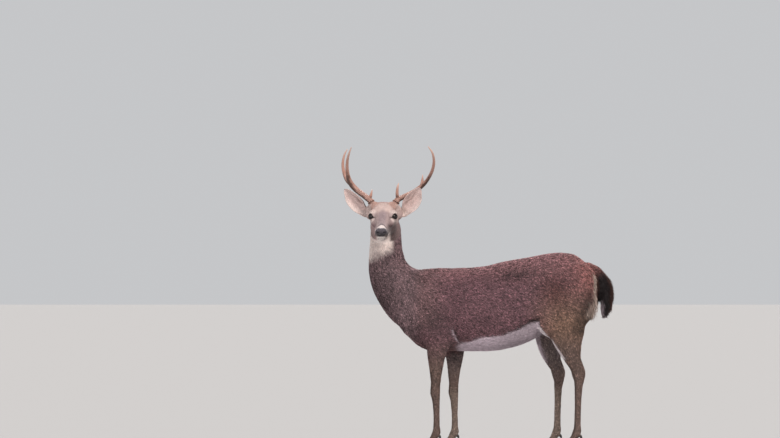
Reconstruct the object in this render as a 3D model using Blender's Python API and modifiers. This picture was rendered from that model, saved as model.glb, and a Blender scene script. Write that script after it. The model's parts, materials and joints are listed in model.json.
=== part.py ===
"""A white-tailed buck at life size, standing still with its head turned to its left.

The buck stands along X with its chest towards -X, so its left side faces -Y. The head looks
along -Y. The flesh is lofted from cross-sections, fused into one body, smoothed and thinned,
and then parted with thin cuts. Antlers, eyes, nose, ears and hooves are solids of their own.
Every size includes the coat.
"""

import math
from dataclasses import astuple, dataclass

import bmesh
import bpy
import numpy as np
from mathutils import Matrix, Vector

# Driving dimensions, metres.
WITHERS_HEIGHT = 0.900
BELLY_HEIGHT = 0.490
GAP = 0.0003  # between neighbouring solids
CUT = 0.0004  # width of the cuts that part the body

# Pose of the head: turned to the left of the way the buck stands, and dipped.
HEAD_TURN = math.radians(87)
HEAD_DIP = math.radians(8)
BETWEEN_EYES = Vector((-0.460, -0.115, 1.150))

# Where each foot stands along X, and how far its legs are from the mid-plane.
FORE_FOOT_X = {"left": -0.203, "right": -0.113}
HIND_FOOT_X = {"left": 0.485, "right": 0.390}
SIDE_SIGN = {"left": -1, "right": 1}

# Resolution of the fused body and of the finished solids.
VOXEL = 0.0045
FINE_PASSES = 6
BROAD_PASSES = 45
FLESH_TRIANGLES = 3600

COLOURS = {
    "coat": (0.145, 0.075, 0.060),
    "pale_coat": (0.50, 0.40, 0.36),
    "white_coat": (0.72, 0.66, 0.62),
    "tail_coat": (0.055, 0.028, 0.022),
    "antler": (0.42, 0.27, 0.19),
    "hoof": (0.030, 0.024, 0.020),
    "eye": (0.012, 0.008, 0.006),
    "nose": (0.018, 0.016, 0.017),
}
ROUGHNESS = {"eye": 0.08, "nose": 0.35, "antler": 0.5, "hoof": 0.4}


@dataclass
class Ring:
    """One cross-section of a loft: its centre, and its reach ahead, behind and to each side.

    The powers set how square the half ahead and the half behind are. 2 is an ellipse.
    """

    x: float
    y: float
    z: float
    ahead: float
    behind: float
    side: float
    ahead_power: float = 2.0
    behind_power: float = 2.0


def trunk_ring(x, top, bottom, half_width, widest, top_power=2.0, bottom_power=2.0):
    """A section across the trunk, by the heights of its top, bottom and widest line."""
    return Ring(x, 0, widest, top - widest, widest - bottom, half_width, top_power, bottom_power)


# Body --------------------------------------------------------------------------------------

TRUNK = [
    trunk_ring(-0.388, 0.720, 0.578, 0.046, 0.650),
    trunk_ring(-0.345, 0.840, 0.521, 0.090, 0.665),
    trunk_ring(-0.285, 0.884, 0.493, 0.116, 0.680, 1.8),
    trunk_ring(-0.210, 0.899, 0.493, 0.131, 0.690, 1.7),
    trunk_ring(-0.120, WITHERS_HEIGHT, 0.492, 0.142, 0.690, 1.75, 2.1),
    trunk_ring(-0.020, 0.903, BELLY_HEIGHT, 0.156, 0.685, 1.85, 2.2),
    trunk_ring(0.070, 0.913, 0.492, 0.164, 0.685, 1.9, 2.2),
    trunk_ring(0.150, 0.930, 0.509, 0.162, 0.695, 1.95, 2.1),
    trunk_ring(0.225, 0.948, 0.541, 0.150, 0.715, 2.0),
    trunk_ring(0.300, 0.964, 0.597, 0.136, 0.745, 2.0),
    trunk_ring(0.380, 0.976, 0.640, 0.128, 0.780, 2.1),
    trunk_ring(0.450, 0.975, 0.670, 0.120, 0.800, 2.1),
    trunk_ring(0.515, 0.957, 0.705, 0.102, 0.815, 2.1),
    trunk_ring(0.565, 0.937, 0.755, 0.070, 0.835),
    trunk_ring(0.592, 0.908, 0.810, 0.034, 0.850),
]

NECK = [
    Ring(-0.220, 0.000, 0.690, 0.150, 0.170, 0.118),
    Ring(-0.312, 0.000, 0.757, 0.158, 0.150, 0.110),
    Ring(-0.385, 0.000, 0.828, 0.136, 0.106, 0.096),
    Ring(-0.425, -0.002, 0.893, 0.112, 0.088, 0.086),
    Ring(-0.4425, -0.006, 0.955, 0.090, 0.084, 0.079),
    Ring(-0.4460, -0.014, 1.020, 0.080, 0.078, 0.076),
    Ring(-0.446, -0.026, 1.088, 0.075, 0.075, 0.073),
    Ring(-0.450, -0.046, 1.145, 0.058, 0.056, 0.054),
]

TAIL = [
    Ring(0.530, 0, 0.905, 0.028, 0.026, 0.024),
    Ring(0.574, 0, 0.886, 0.029, 0.024, 0.031),
    Ring(0.605, 0, 0.857, 0.028, 0.024, 0.042, 2.0, 2.4),
    Ring(0.624, 0, 0.795, 0.033, 0.027, 0.050, 2.0, 2.4),
    Ring(0.628, 0, 0.735, 0.030, 0.026, 0.046, 2.0, 2.4),
    Ring(0.624, 0, 0.692, 0.021, 0.019, 0.031),
    Ring(0.621, 0, 0.668, 0.009, 0.009, 0.012),
]

# Legs, each from the top down. x is added to the foot's own place as the leg goes down, so
# the leg that stands further forward also reaches forward from the hip or the shoulder.
FORE_LEG = [
    Ring(0.015, 0.050, 0.850, 0.040, 0.040, 0.034),
    Ring(-0.030, 0.078, 0.765, 0.080, 0.070, 0.056),
    Ring(-0.060, 0.088, 0.680, 0.088, 0.100, 0.056),
    Ring(-0.025, 0.093, 0.610, 0.088, 0.100, 0.050),
    Ring(0.012, 0.094, 0.555, 0.066, 0.082, 0.044),
    Ring(0.008, 0.092, 0.510, 0.056, 0.056, 0.037),
    Ring(0.003, 0.089, 0.460, 0.044, 0.043, 0.031),
    Ring(0.001, 0.086, 0.400, 0.033, 0.032, 0.026),
    Ring(0.000, 0.084, 0.335, 0.0255, 0.0235, 0.0225),
    Ring(-0.002, 0.083, 0.285, 0.0250, 0.0240, 0.0235, 2.4),
    Ring(0.001, 0.082, 0.250, 0.0190, 0.0205, 0.0190),
    Ring(0.003, 0.081, 0.185, 0.0155, 0.0165, 0.0145),
    Ring(0.003, 0.080, 0.125, 0.0160, 0.0180, 0.0155),
    Ring(0.003, 0.080, 0.096, 0.0205, 0.0215, 0.0190),
    Ring(-0.012, 0.080, 0.066, 0.0180, 0.0170, 0.0175),
    Ring(-0.024, 0.080, 0.040, 0.0230, 0.0200, 0.0225),
    Ring(-0.030, 0.080, 0.030, 0.0200, 0.0170, 0.0200),
]

HIND_LEG = [
    Ring(0.440, 0.040, 0.910, 0.080, 0.080, 0.050),
    Ring(0.442, 0.062, 0.845, 0.118, 0.118, 0.070),
    Ring(0.443, 0.076, 0.765, 0.136, 0.137, 0.070),
    Ring(0.440, 0.083, 0.690, 0.128, 0.132, 0.062),
    Ring(0.436, 0.088, 0.625, 0.110, 0.110, 0.054),
    Ring(0.440, 0.090, 0.560, 0.085, 0.083, 0.045),
    Ring(0.452, 0.090, 0.500, 0.060, 0.058, 0.035),
    Ring(0.467, 0.089, 0.450, 0.041, 0.040, 0.027),
    Ring(0.484, 0.088, 0.410, 0.032, 0.036, 0.0235),
    Ring(0.493, 0.087, 0.378, 0.033, 0.036, 0.0240),
    Ring(0.495, 0.087, 0.345, 0.025, 0.025, 0.0215),
    Ring(0.492, 0.087, 0.300, 0.0195, 0.0195, 0.0175),
    Ring(0.489, 0.088, 0.200, 0.0165, 0.0170, 0.0150),
    Ring(0.487, 0.089, 0.128, 0.0170, 0.0185, 0.0160),
    Ring(0.485, 0.090, 0.098, 0.0210, 0.0220, 0.0190),
    Ring(0.470, 0.090, 0.067, 0.0180, 0.0170, 0.0175),
    Ring(0.457, 0.090, 0.040, 0.0230, 0.0200, 0.0225),
    Ring(0.451, 0.090, 0.030, 0.0200, 0.0170, 0.0200),
]
HIND_LEG_X = 0.485  # the foot's place in the list above

# Head, in its own frame: x towards the nose, y to the buck's left, z up, from between the eyes.
SKULL = [
    Ring(-0.144, 0, -0.040, 0.034, 0.044, 0.036),
    Ring(-0.118, 0, -0.032, 0.072, 0.058, 0.056),
    Ring(-0.080, 0, -0.028, 0.092, 0.062, 0.065, 2.3),
    Ring(-0.040, 0, -0.020, 0.080, 0.064, 0.066, 2.5),
    Ring(0.000, 0, -0.022, 0.062, 0.060, 0.060, 2.5),
    Ring(0.035, 0, -0.036, 0.053, 0.046, 0.049, 2.1),
    Ring(0.070, 0, -0.050, 0.048, 0.037, 0.040, 1.9, 2.3),
    Ring(0.105, 0, -0.059, 0.043, 0.030, 0.0345, 1.9, 2.3),
    Ring(0.140, 0, -0.063, 0.037, 0.027, 0.0325, 2.0, 2.3),
    Ring(0.168, 0, -0.064, 0.032, 0.026, 0.0325, 2.3, 2.3),
    Ring(0.186, 0, -0.065, 0.026, 0.022, 0.0285, 2.4, 2.2),
    Ring(0.194, 0, -0.066, 0.015, 0.014, 0.0190, 2.2, 2.2),
]
JAW = [
    Ring(-0.090, 0, -0.060, 0.030, 0.040, 0.038),
    Ring(-0.050, 0, -0.070, 0.030, 0.039, 0.055),
    Ring(-0.010, 0, -0.074, 0.030, 0.031, 0.050),
    Ring(0.040, 0, -0.078, 0.030, 0.021, 0.034),
    Ring(0.090, 0, -0.083, 0.020, 0.014, 0.0255),
    Ring(0.130, 0, -0.088, 0.014, 0.0135, 0.0235),
    Ring(0.158, 0, -0.0905, 0.012, 0.0125, 0.0215),
    Ring(0.174, 0, -0.089, 0.007, 0.008, 0.0140),
]


@dataclass
class Lump:
    """A rounded mass of flesh: an ellipsoid by centre and half-axes, turned about Y by lean degrees."""

    centre: tuple
    halves: tuple
    lean: float = 0.0


HEAD_LUMPS = [  # mirrored to both sides
    Lump((0.004, 0.0505, 0.008), (0.036, 0.021, 0.026)),  # rim of the orbit
    Lump((0.032, 0.045, -0.022), (0.044, 0.013, 0.015), 25),  # cheekbone
    Lump((-0.045, 0.044, -0.060), (0.044, 0.020, 0.044), -20),  # jaw muscle
    Lump((-0.085, 0.052, 0.008), (0.032, 0.026, 0.038)),  # base of the ear
    Lump((-0.056, 0.046, 0.040), (0.027, 0.023, 0.027)),  # pedicle
    Lump((0.178, 0.017, -0.052), (0.020, 0.016, 0.017)),  # wing of the nostril
]
BODY_LUMPS = [  # mirrored to both sides
    Lump((-0.325, 0.058, 0.650), (0.070, 0.052, 0.095), -25),  # point of the shoulder
    Lump((-0.150, 0.083, 0.610), (0.090, 0.050, 0.075), 20),  # triceps
    Lump((0.365, 0.083, 0.655), (0.080, 0.056, 0.100), 10),  # stifle
    Lump((0.515, 0.054, 0.800), (0.066, 0.054, 0.120), 8),  # buttock
]

# Ears, eyes, nose and antlers, in the frame of the head, for the left side.
EYE_CENTRE = Vector((0.014, 0.0505, 0.000))
EYE_RADIUS = 0.0185
EYE_AIM = Vector((0.77, 0.63, 0.02)).normalized()
LID_THICKNESS = 0.0030
EYE_SLIT = (0.0172, 0.0115)  # half width and half height of the opening between the lids

NOSE_CENTRE = Vector((0.184, 0.0, -0.0545))
NOSE_HALVES = (0.0185, 0.0290, 0.0215)
NOSTRIL = Vector((0.2005, 0.0175, -0.0530))
NOSTRIL_HALVES = (0.0085, 0.0060, 0.0045)

EAR_ROOT = Vector((-0.090, 0.081, 0.000))
EAR_TIP = Vector((-0.066, 0.182, 0.131))
EAR_OPENING = Vector((0.95, 0.22, 0.0))  # the way the ear faces
EAR_DROOP = {"left": 0, "right": math.radians(6)}
EAR_SWING = {"left": 0, "right": math.radians(21)}  # backwards
EAR_SHELL = 0.0042
EAR_SECTIONS = [  # distance along the ear, shift towards the crown, half width, half angle of the curl
    (-0.036, -0.012, 0.019, 150),
    (0.000, -0.011, 0.021, 130),
    (0.032, -0.012, 0.029, 100),
    (0.060, -0.009, 0.0405, 76),
    (0.090, -0.008, 0.0420, 62),
    (0.120, -0.006, 0.0355, 54),
    (0.145, -0.001, 0.0205, 46),
    (0.159, 0.001, 0.0105, 42),
    (0.167, 0.001, 0.0030, 40),
]


@dataclass
class Tine:
    """One tapering length of antler: the points along it and its half-thickness at each of them."""

    points: list
    radii: list


BURR = (0.0200, 0.0200, 0.0065)  # half-axes of the ring at the foot of the beam
LEFT_BEAM = Tine(
    [
        (-0.054, 0.047, 0.032),
        (-0.061, 0.061, 0.062),
        (-0.069, 0.071, 0.073),
        (-0.089, 0.094, 0.083),
        (-0.118, 0.139, 0.102),
        (-0.122, 0.180, 0.129),
        (-0.102, 0.212, 0.165),
        (-0.062, 0.238, 0.215),
        (-0.015, 0.249, 0.266),
        (0.030, 0.244, 0.314),
        (0.058, 0.224, 0.350),
    ],
    [0.0135, 0.0140, 0.0135, 0.0120, 0.0110, 0.0110, 0.0090, 0.0080, 0.0068, 0.0050, 0.0018],
)
LEFT_BROW = Tine(
    [(-0.068, 0.070, 0.074), (-0.062, 0.066, 0.100), (-0.052, 0.069, 0.134), (-0.048, 0.075, 0.157)],
    [0.0100, 0.0078, 0.0058, 0.0018],
)
LEFT_UPPER_TINE = Tine(
    [(-0.121, 0.182, 0.132), (-0.126, 0.187, 0.162), (-0.127, 0.188, 0.188)],
    [0.0082, 0.0058, 0.0016],
)
RIGHT_BEAM = Tine(
    [
        (-0.054, 0.047, 0.032),
        (-0.061, 0.061, 0.062),
        (-0.069, 0.073, 0.074),
        (-0.084, 0.101, 0.093),
        (-0.100, 0.138, 0.120),
        (-0.098, 0.162, 0.149),
        (-0.085, 0.173, 0.182),
        (-0.055, 0.177, 0.225),
        (-0.018, 0.173, 0.272),
        (0.020, 0.162, 0.312),
        (0.045, 0.149, 0.345),
    ],
    [0.0135, 0.0140, 0.0145, 0.0140, 0.0140, 0.0135, 0.0105, 0.0085, 0.0070, 0.0048, 0.0018],
)
RIGHT_BROW = Tine(
    [(-0.068, 0.070, 0.074), (-0.062, 0.062, 0.095), (-0.054, 0.055, 0.124)],
    [0.0095, 0.0070, 0.0020],
)
RIGHT_UPPER_TINE = Tine(
    [
        (-0.100, 0.155, 0.138),
        (-0.112, 0.181, 0.163),
        (-0.118, 0.196, 0.200),
        (-0.112, 0.201, 0.243),
        (-0.098, 0.193, 0.286),
        (-0.082, 0.177, 0.319),
    ],
    [0.0110, 0.0100, 0.0086, 0.0070, 0.0050, 0.0018],
)
ANTLERS = {
    "left": (LEFT_BEAM, {"brow_tine": LEFT_BROW, "upper_tine": LEFT_UPPER_TINE}),
    "right": (RIGHT_BEAM, {"brow_tine": RIGHT_BROW, "upper_tine": RIGHT_UPPER_TINE}),
}

# Legs: where the cuts cross them, and how far each stands from the mid-plane at the ground.
KNEE_HEIGHT = 0.285
FORE_FETLOCK_HEIGHT = 0.098
GASKIN_TOP = 0.520
HOCK_HEIGHT = 0.378
HIND_FETLOCK_HEIGHT = 0.100
FORE_FOOT_Y = 0.080
HIND_FOOT_Y = 0.090

# Feet. Each hoof is two toes; lengths run forwards from the middle of the foot.
CORONET_HEIGHT = 0.030
CORONET_SLOPE = 0.30  # rise for each metre towards the toe
FORE_HOOF_X = -0.030  # middle of the hoof from the foot's own place
HIND_HOOF_X = -0.034
TOE_LENGTH = 0.066
TOE_WIDTH = 0.0215
TOE_SPREAD = 0.0125  # from the middle of the foot to the middle of a toe
DEWCLAW = (0.0075, 0.0070, 0.0130)  # half-axes
DEWCLAW_PLACE = (0.0175, 0.0125, 0.076)  # behind the leg, to each side, and up
DEWCLAW_LEAN = math.radians(-28)


def curve_through(values, steps):
    """Rows of numbers joined by a Catmull-Rom curve, with steps points from each row to the next."""
    rows = np.array(values, float)
    padded = np.vstack([2 * rows[0] - rows[1], rows, 2 * rows[-1] - rows[-2]])
    out = []
    for i in range(1, len(rows)):
        a, b, c, d = padded[i - 1 : i + 3]
        for k in range(steps):
            t = k / steps
            out.append(
                0.5
                * (2 * b + (c - a) * t + (2 * a - 5 * b + 4 * c - d) * t**2 + (3 * b - a - 3 * c + d) * t**3)
            )
    out.append(rows[-1])
    return np.array(out)


def new_object(name, bm, collection=None):
    """Links a bmesh as a smooth-shaded object and frees it."""
    bmesh.ops.recalc_face_normals(bm, faces=bm.faces)
    if bm.calc_volume(signed=True) < 0:
        bmesh.ops.reverse_faces(bm, faces=bm.faces)
    mesh = bpy.data.meshes.new(name)
    bm.to_mesh(mesh)
    bm.free()
    mesh.shade_smooth()
    obj = bpy.data.objects.new(name, mesh)
    (collection or bpy.context.scene.collection).objects.link(obj)
    return obj


def power(value, exponent):
    """value raised to 2 / exponent, keeping its sign."""
    return math.copysign(abs(value) ** (2 / exponent), value)


def loft_into(bm, rings, front, sides=28, steps=4):
    """Adds a closed tube through the rings. front is the direction that the rings call ahead."""
    rows = curve_through([astuple(r) for r in rings], steps)
    centres = [Vector(r[:3]) for r in rows]
    loops = []
    for i, row in enumerate(rows):
        along = (centres[min(i + 1, len(rows) - 1)] - centres[max(i - 1, 0)]).normalized()
        ahead = (front - along * front.dot(along)).normalized()
        across = along.cross(ahead)
        reach_ahead, reach_behind, reach_side, ahead_power, behind_power = np.maximum(row[3:], 0.002)
        loop = []
        for k in range(sides):
            angle = 2 * math.pi * k / sides
            up, out = math.sin(angle), math.cos(angle)
            exponent, reach = (ahead_power, reach_ahead) if up > 0 else (behind_power, reach_behind)
            offset = ahead * reach * power(up, exponent) + across * reach_side * power(out, exponent)
            loop.append(bm.verts.new(centres[i] + offset))
        loops.append(loop)
    for low, high in zip(loops, loops[1:]):
        for k in range(sides):
            bm.faces.new((low[k], low[(k + 1) % sides], high[(k + 1) % sides], high[k]))
    bm.faces.new(loops[0][::-1])
    bm.faces.new(loops[-1])
    return bm


def lump_into(bm, lump, side=1):
    """Adds an ellipsoid, mirrored in Y if side is -1."""
    x, y, z = lump.centre
    place = (
        Matrix.Translation((x, side * y, z))
        @ Matrix.Rotation(math.radians(lump.lean), 4, "Y")
        @ Matrix.Diagonal((*lump.halves, 1))
    )
    bmesh.ops.create_uvsphere(bm, u_segments=20, v_segments=12, radius=1, matrix=place)


def head_matrix():
    """Places the frame of the head in the frame of the buck."""
    return (
        Matrix.Translation(BETWEEN_EYES)
        @ Matrix.Rotation(math.pi + HEAD_TURN, 4, "Z")
        @ Matrix.Rotation(HEAD_DIP, 4, "Y")
    )


def leg_rings(rings, side, foot_x, shift_from):
    """The rings of one leg, moved to its side and, more and more downwards, to its own place along X."""
    top, bottom = shift_from
    moved = []
    for ring in rings:
        share = min(max((top - ring.z) / (top - bottom), 0), 1)
        share = share * share * (3 - 2 * share)
        values = list(astuple(ring))
        values[0] += foot_x * share
        values[1] *= SIDE_SIGN[side]
        moved.append(Ring(*values))
    return moved


def body_mesh():
    """Every loft and lump of flesh in one bmesh, overlapping, not yet fused."""
    bm = bmesh.new()
    up, forward = Vector((0, 0, 1)), Vector((-1, 0, 0))
    loft_into(bm, TRUNK, up, sides=36)
    loft_into(bm, NECK, forward, sides=32)
    loft_into(bm, TAIL, Vector((1, 0, 0)), sides=24)
    for side, sign in SIDE_SIGN.items():
        fore_base = FORE_FOOT_X["left"]
        fore = [Ring(r.x + fore_base, *astuple(r)[1:]) for r in FORE_LEG]
        loft_into(bm, leg_rings(fore, side, FORE_FOOT_X[side] - fore_base, (0.72, 0.46)), forward, sides=24)
        hind = leg_rings(HIND_LEG, side, HIND_FOOT_X[side] - HIND_LEG_X, (0.82, 0.46))
        loft_into(bm, hind, forward, sides=24)
        for lump in BODY_LUMPS:
            lump_into(bm, lump, sign)
    head = bmesh.new()
    loft_into(head, SKULL, up, sides=32)
    loft_into(head, JAW, up, sides=24)
    for lump in HEAD_LUMPS:
        for sign in (1, -1):
            lump_into(head, lump, sign)
    head.transform(head_matrix())
    scratch = bpy.data.meshes.new("head")
    head.to_mesh(scratch)
    head.free()
    bm.from_mesh(scratch)
    bpy.data.meshes.remove(scratch)
    return bm


def evaluated(obj):
    """A new mesh of the object with its modifiers applied."""
    graph = bpy.context.evaluated_depsgraph_get()
    return bpy.data.meshes.new_from_object(obj.evaluated_get(graph), depsgraph=graph)


def baked(obj):
    """Applies the object's modifiers to its own mesh."""
    mesh = evaluated(obj)
    old = obj.data
    obj.modifiers.clear()
    obj.data = mesh
    bpy.data.meshes.remove(old)
    return obj


def combined(obj, cutter, operation="DIFFERENCE"):
    """Cuts the object with another object, or joins the two."""
    boolean = obj.modifiers.new(operation.lower(), "BOOLEAN")
    boolean.operation = operation
    boolean.solver = "EXACT"
    boolean.object = cutter
    bpy.context.view_layer.update()
    return baked(obj)


def largest(obj):
    """Drops all but the largest body of an object, such as the stub that a cut leaves."""
    bm = bmesh.new()
    bm.from_mesh(obj.data)
    left, bodies = set(bm.verts), []
    while left:
        reached, edge = set(), {next(iter(left))}
        while edge:
            reached |= edge
            edge = {link.other_vert(vert) for vert in edge for link in vert.link_edges} - reached
        bodies.append(reached)
        left -= reached
    bodies.sort(key=len)
    for body in bodies[:-1]:
        bmesh.ops.delete(bm, geom=list(body), context="VERTS")
    bm.to_mesh(obj.data)
    bm.free()
    return obj


def removed(*objects):
    """Deletes objects that were only needed to cut or to join."""
    for obj in objects:
        bpy.data.objects.remove(obj)


def grown(obj, distance):
    """A copy of the object with its surface moved out, to cut a neighbour with."""
    copy = obj.copy()
    copy.data = obj.data.copy()
    bpy.context.scene.collection.objects.link(copy)
    push = copy.modifiers.new("gap", "DISPLACE")
    push.strength = distance
    push.mid_level = 0
    return baked(copy)


def step(value, low, high):
    """0 below low, 1 above high, and smooth between them."""
    share = min(max((value - low) / (high - low), 0), 1)
    return share * share * (3 - 2 * share)


def towards_the_nose(point):
    """How far a point lies ahead of the line between the eyes, along the face."""
    return (head_matrix().inverted() @ point).x


def is_broad(point):
    """1 on the trunk, neck and thighs, and 0 on the face, tail and lower legs."""
    off_the_legs = step(point.z, 0.44, 0.56)
    off_the_face = 1 - step(point.z, 1.02, 1.10) * step(towards_the_nose(point), -0.13, -0.07)
    off_the_tail = 1 - step(point.x, 0.55, 0.60)
    return off_the_legs * off_the_face * off_the_tail


def is_fine(point):
    """1 on the face, and less on the feet and the rest."""
    on_the_head = step(point.z, 1.0, 1.1) * step(towards_the_nose(point), -0.13, -0.06)
    on_the_foot = 1 - step(point.z, 0.10, 0.45)
    return max(0.9 * on_the_head, 0.35 * on_the_foot, 0.05)


def weigh(obj, name, function):
    """A vertex group with the function's value at each point."""
    group = obj.vertex_groups.new(name=name)
    for vertex in obj.data.vertices:
        group.add([vertex.index], function(vertex.co), "REPLACE")
    return group.name


def fused(name, bm):
    """The overlapping lofts as one smooth body with few triangles, most of them on the face."""
    obj = new_object(name, bm)
    remesh = obj.modifiers.new("fuse", "REMESH")
    remesh.mode = "VOXEL"
    remesh.voxel_size = VOXEL
    baked(obj)
    fine = obj.modifiers.new("fine", "SMOOTH")
    fine.factor = 0.5
    fine.iterations = FINE_PASSES
    broad = obj.modifiers.new("broad", "SMOOTH")
    broad.factor = 0.5
    broad.iterations = BROAD_PASSES
    broad.vertex_group = weigh(obj, "broad", is_broad)
    baked(obj)
    thin = obj.modifiers.new("thin", "DECIMATE")
    thin.ratio = FLESH_TRIANGLES / (2 * len(obj.data.polygons))
    thin.vertex_group = weigh(obj, "fine", is_fine)
    thin.vertex_group_factor = 0.01
    thin.invert_vertex_group = True
    thin.use_collapse_triangulate = True
    return baked(obj)


# Cuts ---------------------------------------------------------------------------------------


HIPS = ((0.301, 0.5625), (0.640, 0.730))  # the line in side view under which the hind legs begin


def slab(name, centre, normal, across, length, width):
    """A thin box: its faces look along normal, and it reaches length each way towards across."""
    normal = Vector(normal).normalized()
    across = Vector(across)
    across = (across - normal * across.dot(normal)).normalized()
    turn = Matrix((across, normal.cross(across), normal)).transposed().to_4x4()
    bm = bmesh.new()
    place = Matrix.Translation(centre) @ turn @ Matrix.Diagonal((2 * length, 2 * width, CUT, 1))
    bmesh.ops.create_cube(bm, size=1, matrix=place)
    obj = new_object(name, bm)
    obj.hide_render = True
    obj.display_type = "WIRE"
    return obj


def between(low, high):
    """The centre, the direction and the half-length of the line between two points in the mid-plane."""
    low, high = Vector((low[0], 0, low[1])), Vector((high[0], 0, high[1]))
    return (low + high) / 2, (high - low).normalized(), (high - low).length / 2


def cuts():
    """The slabs that part the body into its named pieces."""
    side = Vector((0, 1, 0))
    slabs = []
    for name, low, high, width in (
        ("neck_base", (-0.475, 0.660), (-0.285, 0.925), 0.20),
        ("tail_root", (0.598, 0.705), (0.558, 0.960), 0.12),
        ("hips", *HIPS, 0.20),
        ("flank", (0.296, 0.480), (0.301, 0.564), 0.20),
        ("elbows", (-0.300, 0.478), (-0.020, 0.478), 0.20),
    ):
        centre, along, length = between(low, high)
        slabs.append(slab(name, centre, along.cross(side), along, length, width))
    centre, along, length = between(*HIPS)
    slabs.append(slab("crotch", centre - along.cross(side) * 0.06, side, along, length, 0.06 + CUT / 2))
    slabs.append(slab("groin", (0.400, 0, 0.4635), side, (1, 0, 0), 0.0995, 0.1005))
    frame = head_matrix()
    nape, throat = Vector((-0.195, 0, -0.030)), Vector((0.028, 0, -0.147))
    along = throat - nape
    centre, turn = frame @ ((nape + throat) / 2), frame.to_3x3()
    slabs.append(slab("jaw", centre, turn @ along.cross(side), turn @ along, along.length / 2, 0.12))
    for which, sign in SIDE_SIGN.items():
        for name, foot_x, heights, hoof_x in (
            ("fore", FORE_FOOT_X[which], (KNEE_HEIGHT, FORE_FETLOCK_HEIGHT), FORE_HOOF_X),
            ("hind", HIND_FOOT_X[which], (GASKIN_TOP, HOCK_HEIGHT, HIND_FETLOCK_HEIGHT), HIND_HOOF_X),
        ):
            for height in heights:
                x = foot_x - (0.035 if height == GASKIN_TOP else 0)
                centre = (x, sign * 0.087, height)
                slabs.append(slab(f"{which}_{name}_{height}", centre, (0, 0, 1), side, 0.062, 0.10))
            slabs.append(
                slab(
                    f"{which}_{name}_coronet",
                    (foot_x + hoof_x, sign * 0.085, CORONET_HEIGHT),
                    (CORONET_SLOPE, 0, 1),
                    side,
                    0.05,
                    0.06,
                )
            )
    return slabs


def part_names():
    """A point inside each piece of the body, by the piece's name."""
    seeds = {
        "head": BETWEEN_EYES,
        "neck": Vector((-0.43, 0, 0.93)),
        "trunk": Vector((0.05, 0, 0.70)),
        "tail": Vector((0.63, 0, 0.75)),
    }
    for side, sign in SIDE_SIGN.items():
        fore, hind = FORE_FOOT_X[side], HIND_FOOT_X[side]
        seeds[f"{side}_foreleg_forearm"] = Vector((fore, sign * 0.087, 0.38))
        seeds[f"{side}_foreleg_cannon"] = Vector((fore, sign * 0.081, 0.19))
        seeds[f"{side}_foreleg_pastern"] = Vector((fore - 0.010, sign * 0.080, 0.068))
        seeds[f"{side}_hindleg_thigh"] = Vector((hind - 0.045, sign * 0.088, 0.60))
        seeds[f"{side}_hindleg_gaskin"] = Vector((hind - 0.015, sign * 0.088, 0.45))
        seeds[f"{side}_hindleg_cannon"] = Vector((hind + 0.004, sign * 0.088, 0.22))
        seeds[f"{side}_hindleg_pastern"] = Vector((hind - 0.014, sign * 0.090, 0.068))
    return seeds


def parted(body, seeds, collection):
    """Cuts the body, names each piece by the seed nearest to its surface, and drops the rest."""
    slabs = cuts()
    for cutter in slabs:
        combined(body, cutter)
    removed(*slabs)
    bpy.ops.object.select_all(action="DESELECT")
    body.select_set(True)
    bpy.context.view_layer.objects.active = body
    bpy.ops.mesh.separate(type="LOOSE")
    pieces = list(bpy.context.selected_objects)
    named = {}
    for name, seed in seeds.items():
        nearest = min(pieces, key=lambda piece: min((v.co - seed).length for v in piece.data.vertices))
        nearest.name = name
        nearest.vertex_groups.clear()
        bpy.context.scene.collection.objects.unlink(nearest)
        collection.objects.link(nearest)
        pieces.remove(nearest)
        named[name] = nearest
    removed(*pieces)
    return named


# Head pieces --------------------------------------------------------------------------------


def sided(point, sign):
    """A point or direction of the head's frame on the left, or mirrored to the right."""
    return Vector((point[0], sign * point[1], point[2]))


def ball(name, centre, radius, collection=None):
    """A sphere."""
    bm = bmesh.new()
    place = Matrix.Translation(centre)
    bmesh.ops.create_uvsphere(bm, u_segments=10, v_segments=7, radius=radius, matrix=place)
    return new_object(name, bm, collection)


def eye(side, sign, head, collection):
    """An eyeball between lids: the lids join the head, and the ball sits in a socket behind a slit."""
    frame = head_matrix()
    centre = frame @ sided(EYE_CENTRE, sign)
    aim = frame.to_3x3() @ sided(EYE_AIM, sign)
    lids = ball("lids", centre, EYE_RADIUS + LID_THICKNESS)
    combined(head, lids, "UNION")
    socket = ball("socket", centre, EYE_RADIUS + GAP)
    combined(head, socket)
    bm = bmesh.new()
    bmesh.ops.create_cone(bm, cap_ends=True, segments=14, radius1=1, radius2=1, depth=0.05)
    for vertex in bm.verts:
        pinch = 1 - 0.35 * vertex.co.x**2
        vertex.co.x *= EYE_SLIT[0]
        vertex.co.y *= EYE_SLIT[1] * pinch
    level = Vector((0, 0, 1)).cross(aim).normalized()
    turn = Matrix((level, aim.cross(level), aim)).transposed().to_4x4()
    bm.transform(Matrix.Translation(centre + aim * 0.030) @ turn)
    slit = new_object("slit", bm)
    combined(head, slit)
    removed(lids, socket, slit)
    return ball(f"{side}_eye", centre, EYE_RADIUS, collection)


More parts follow.
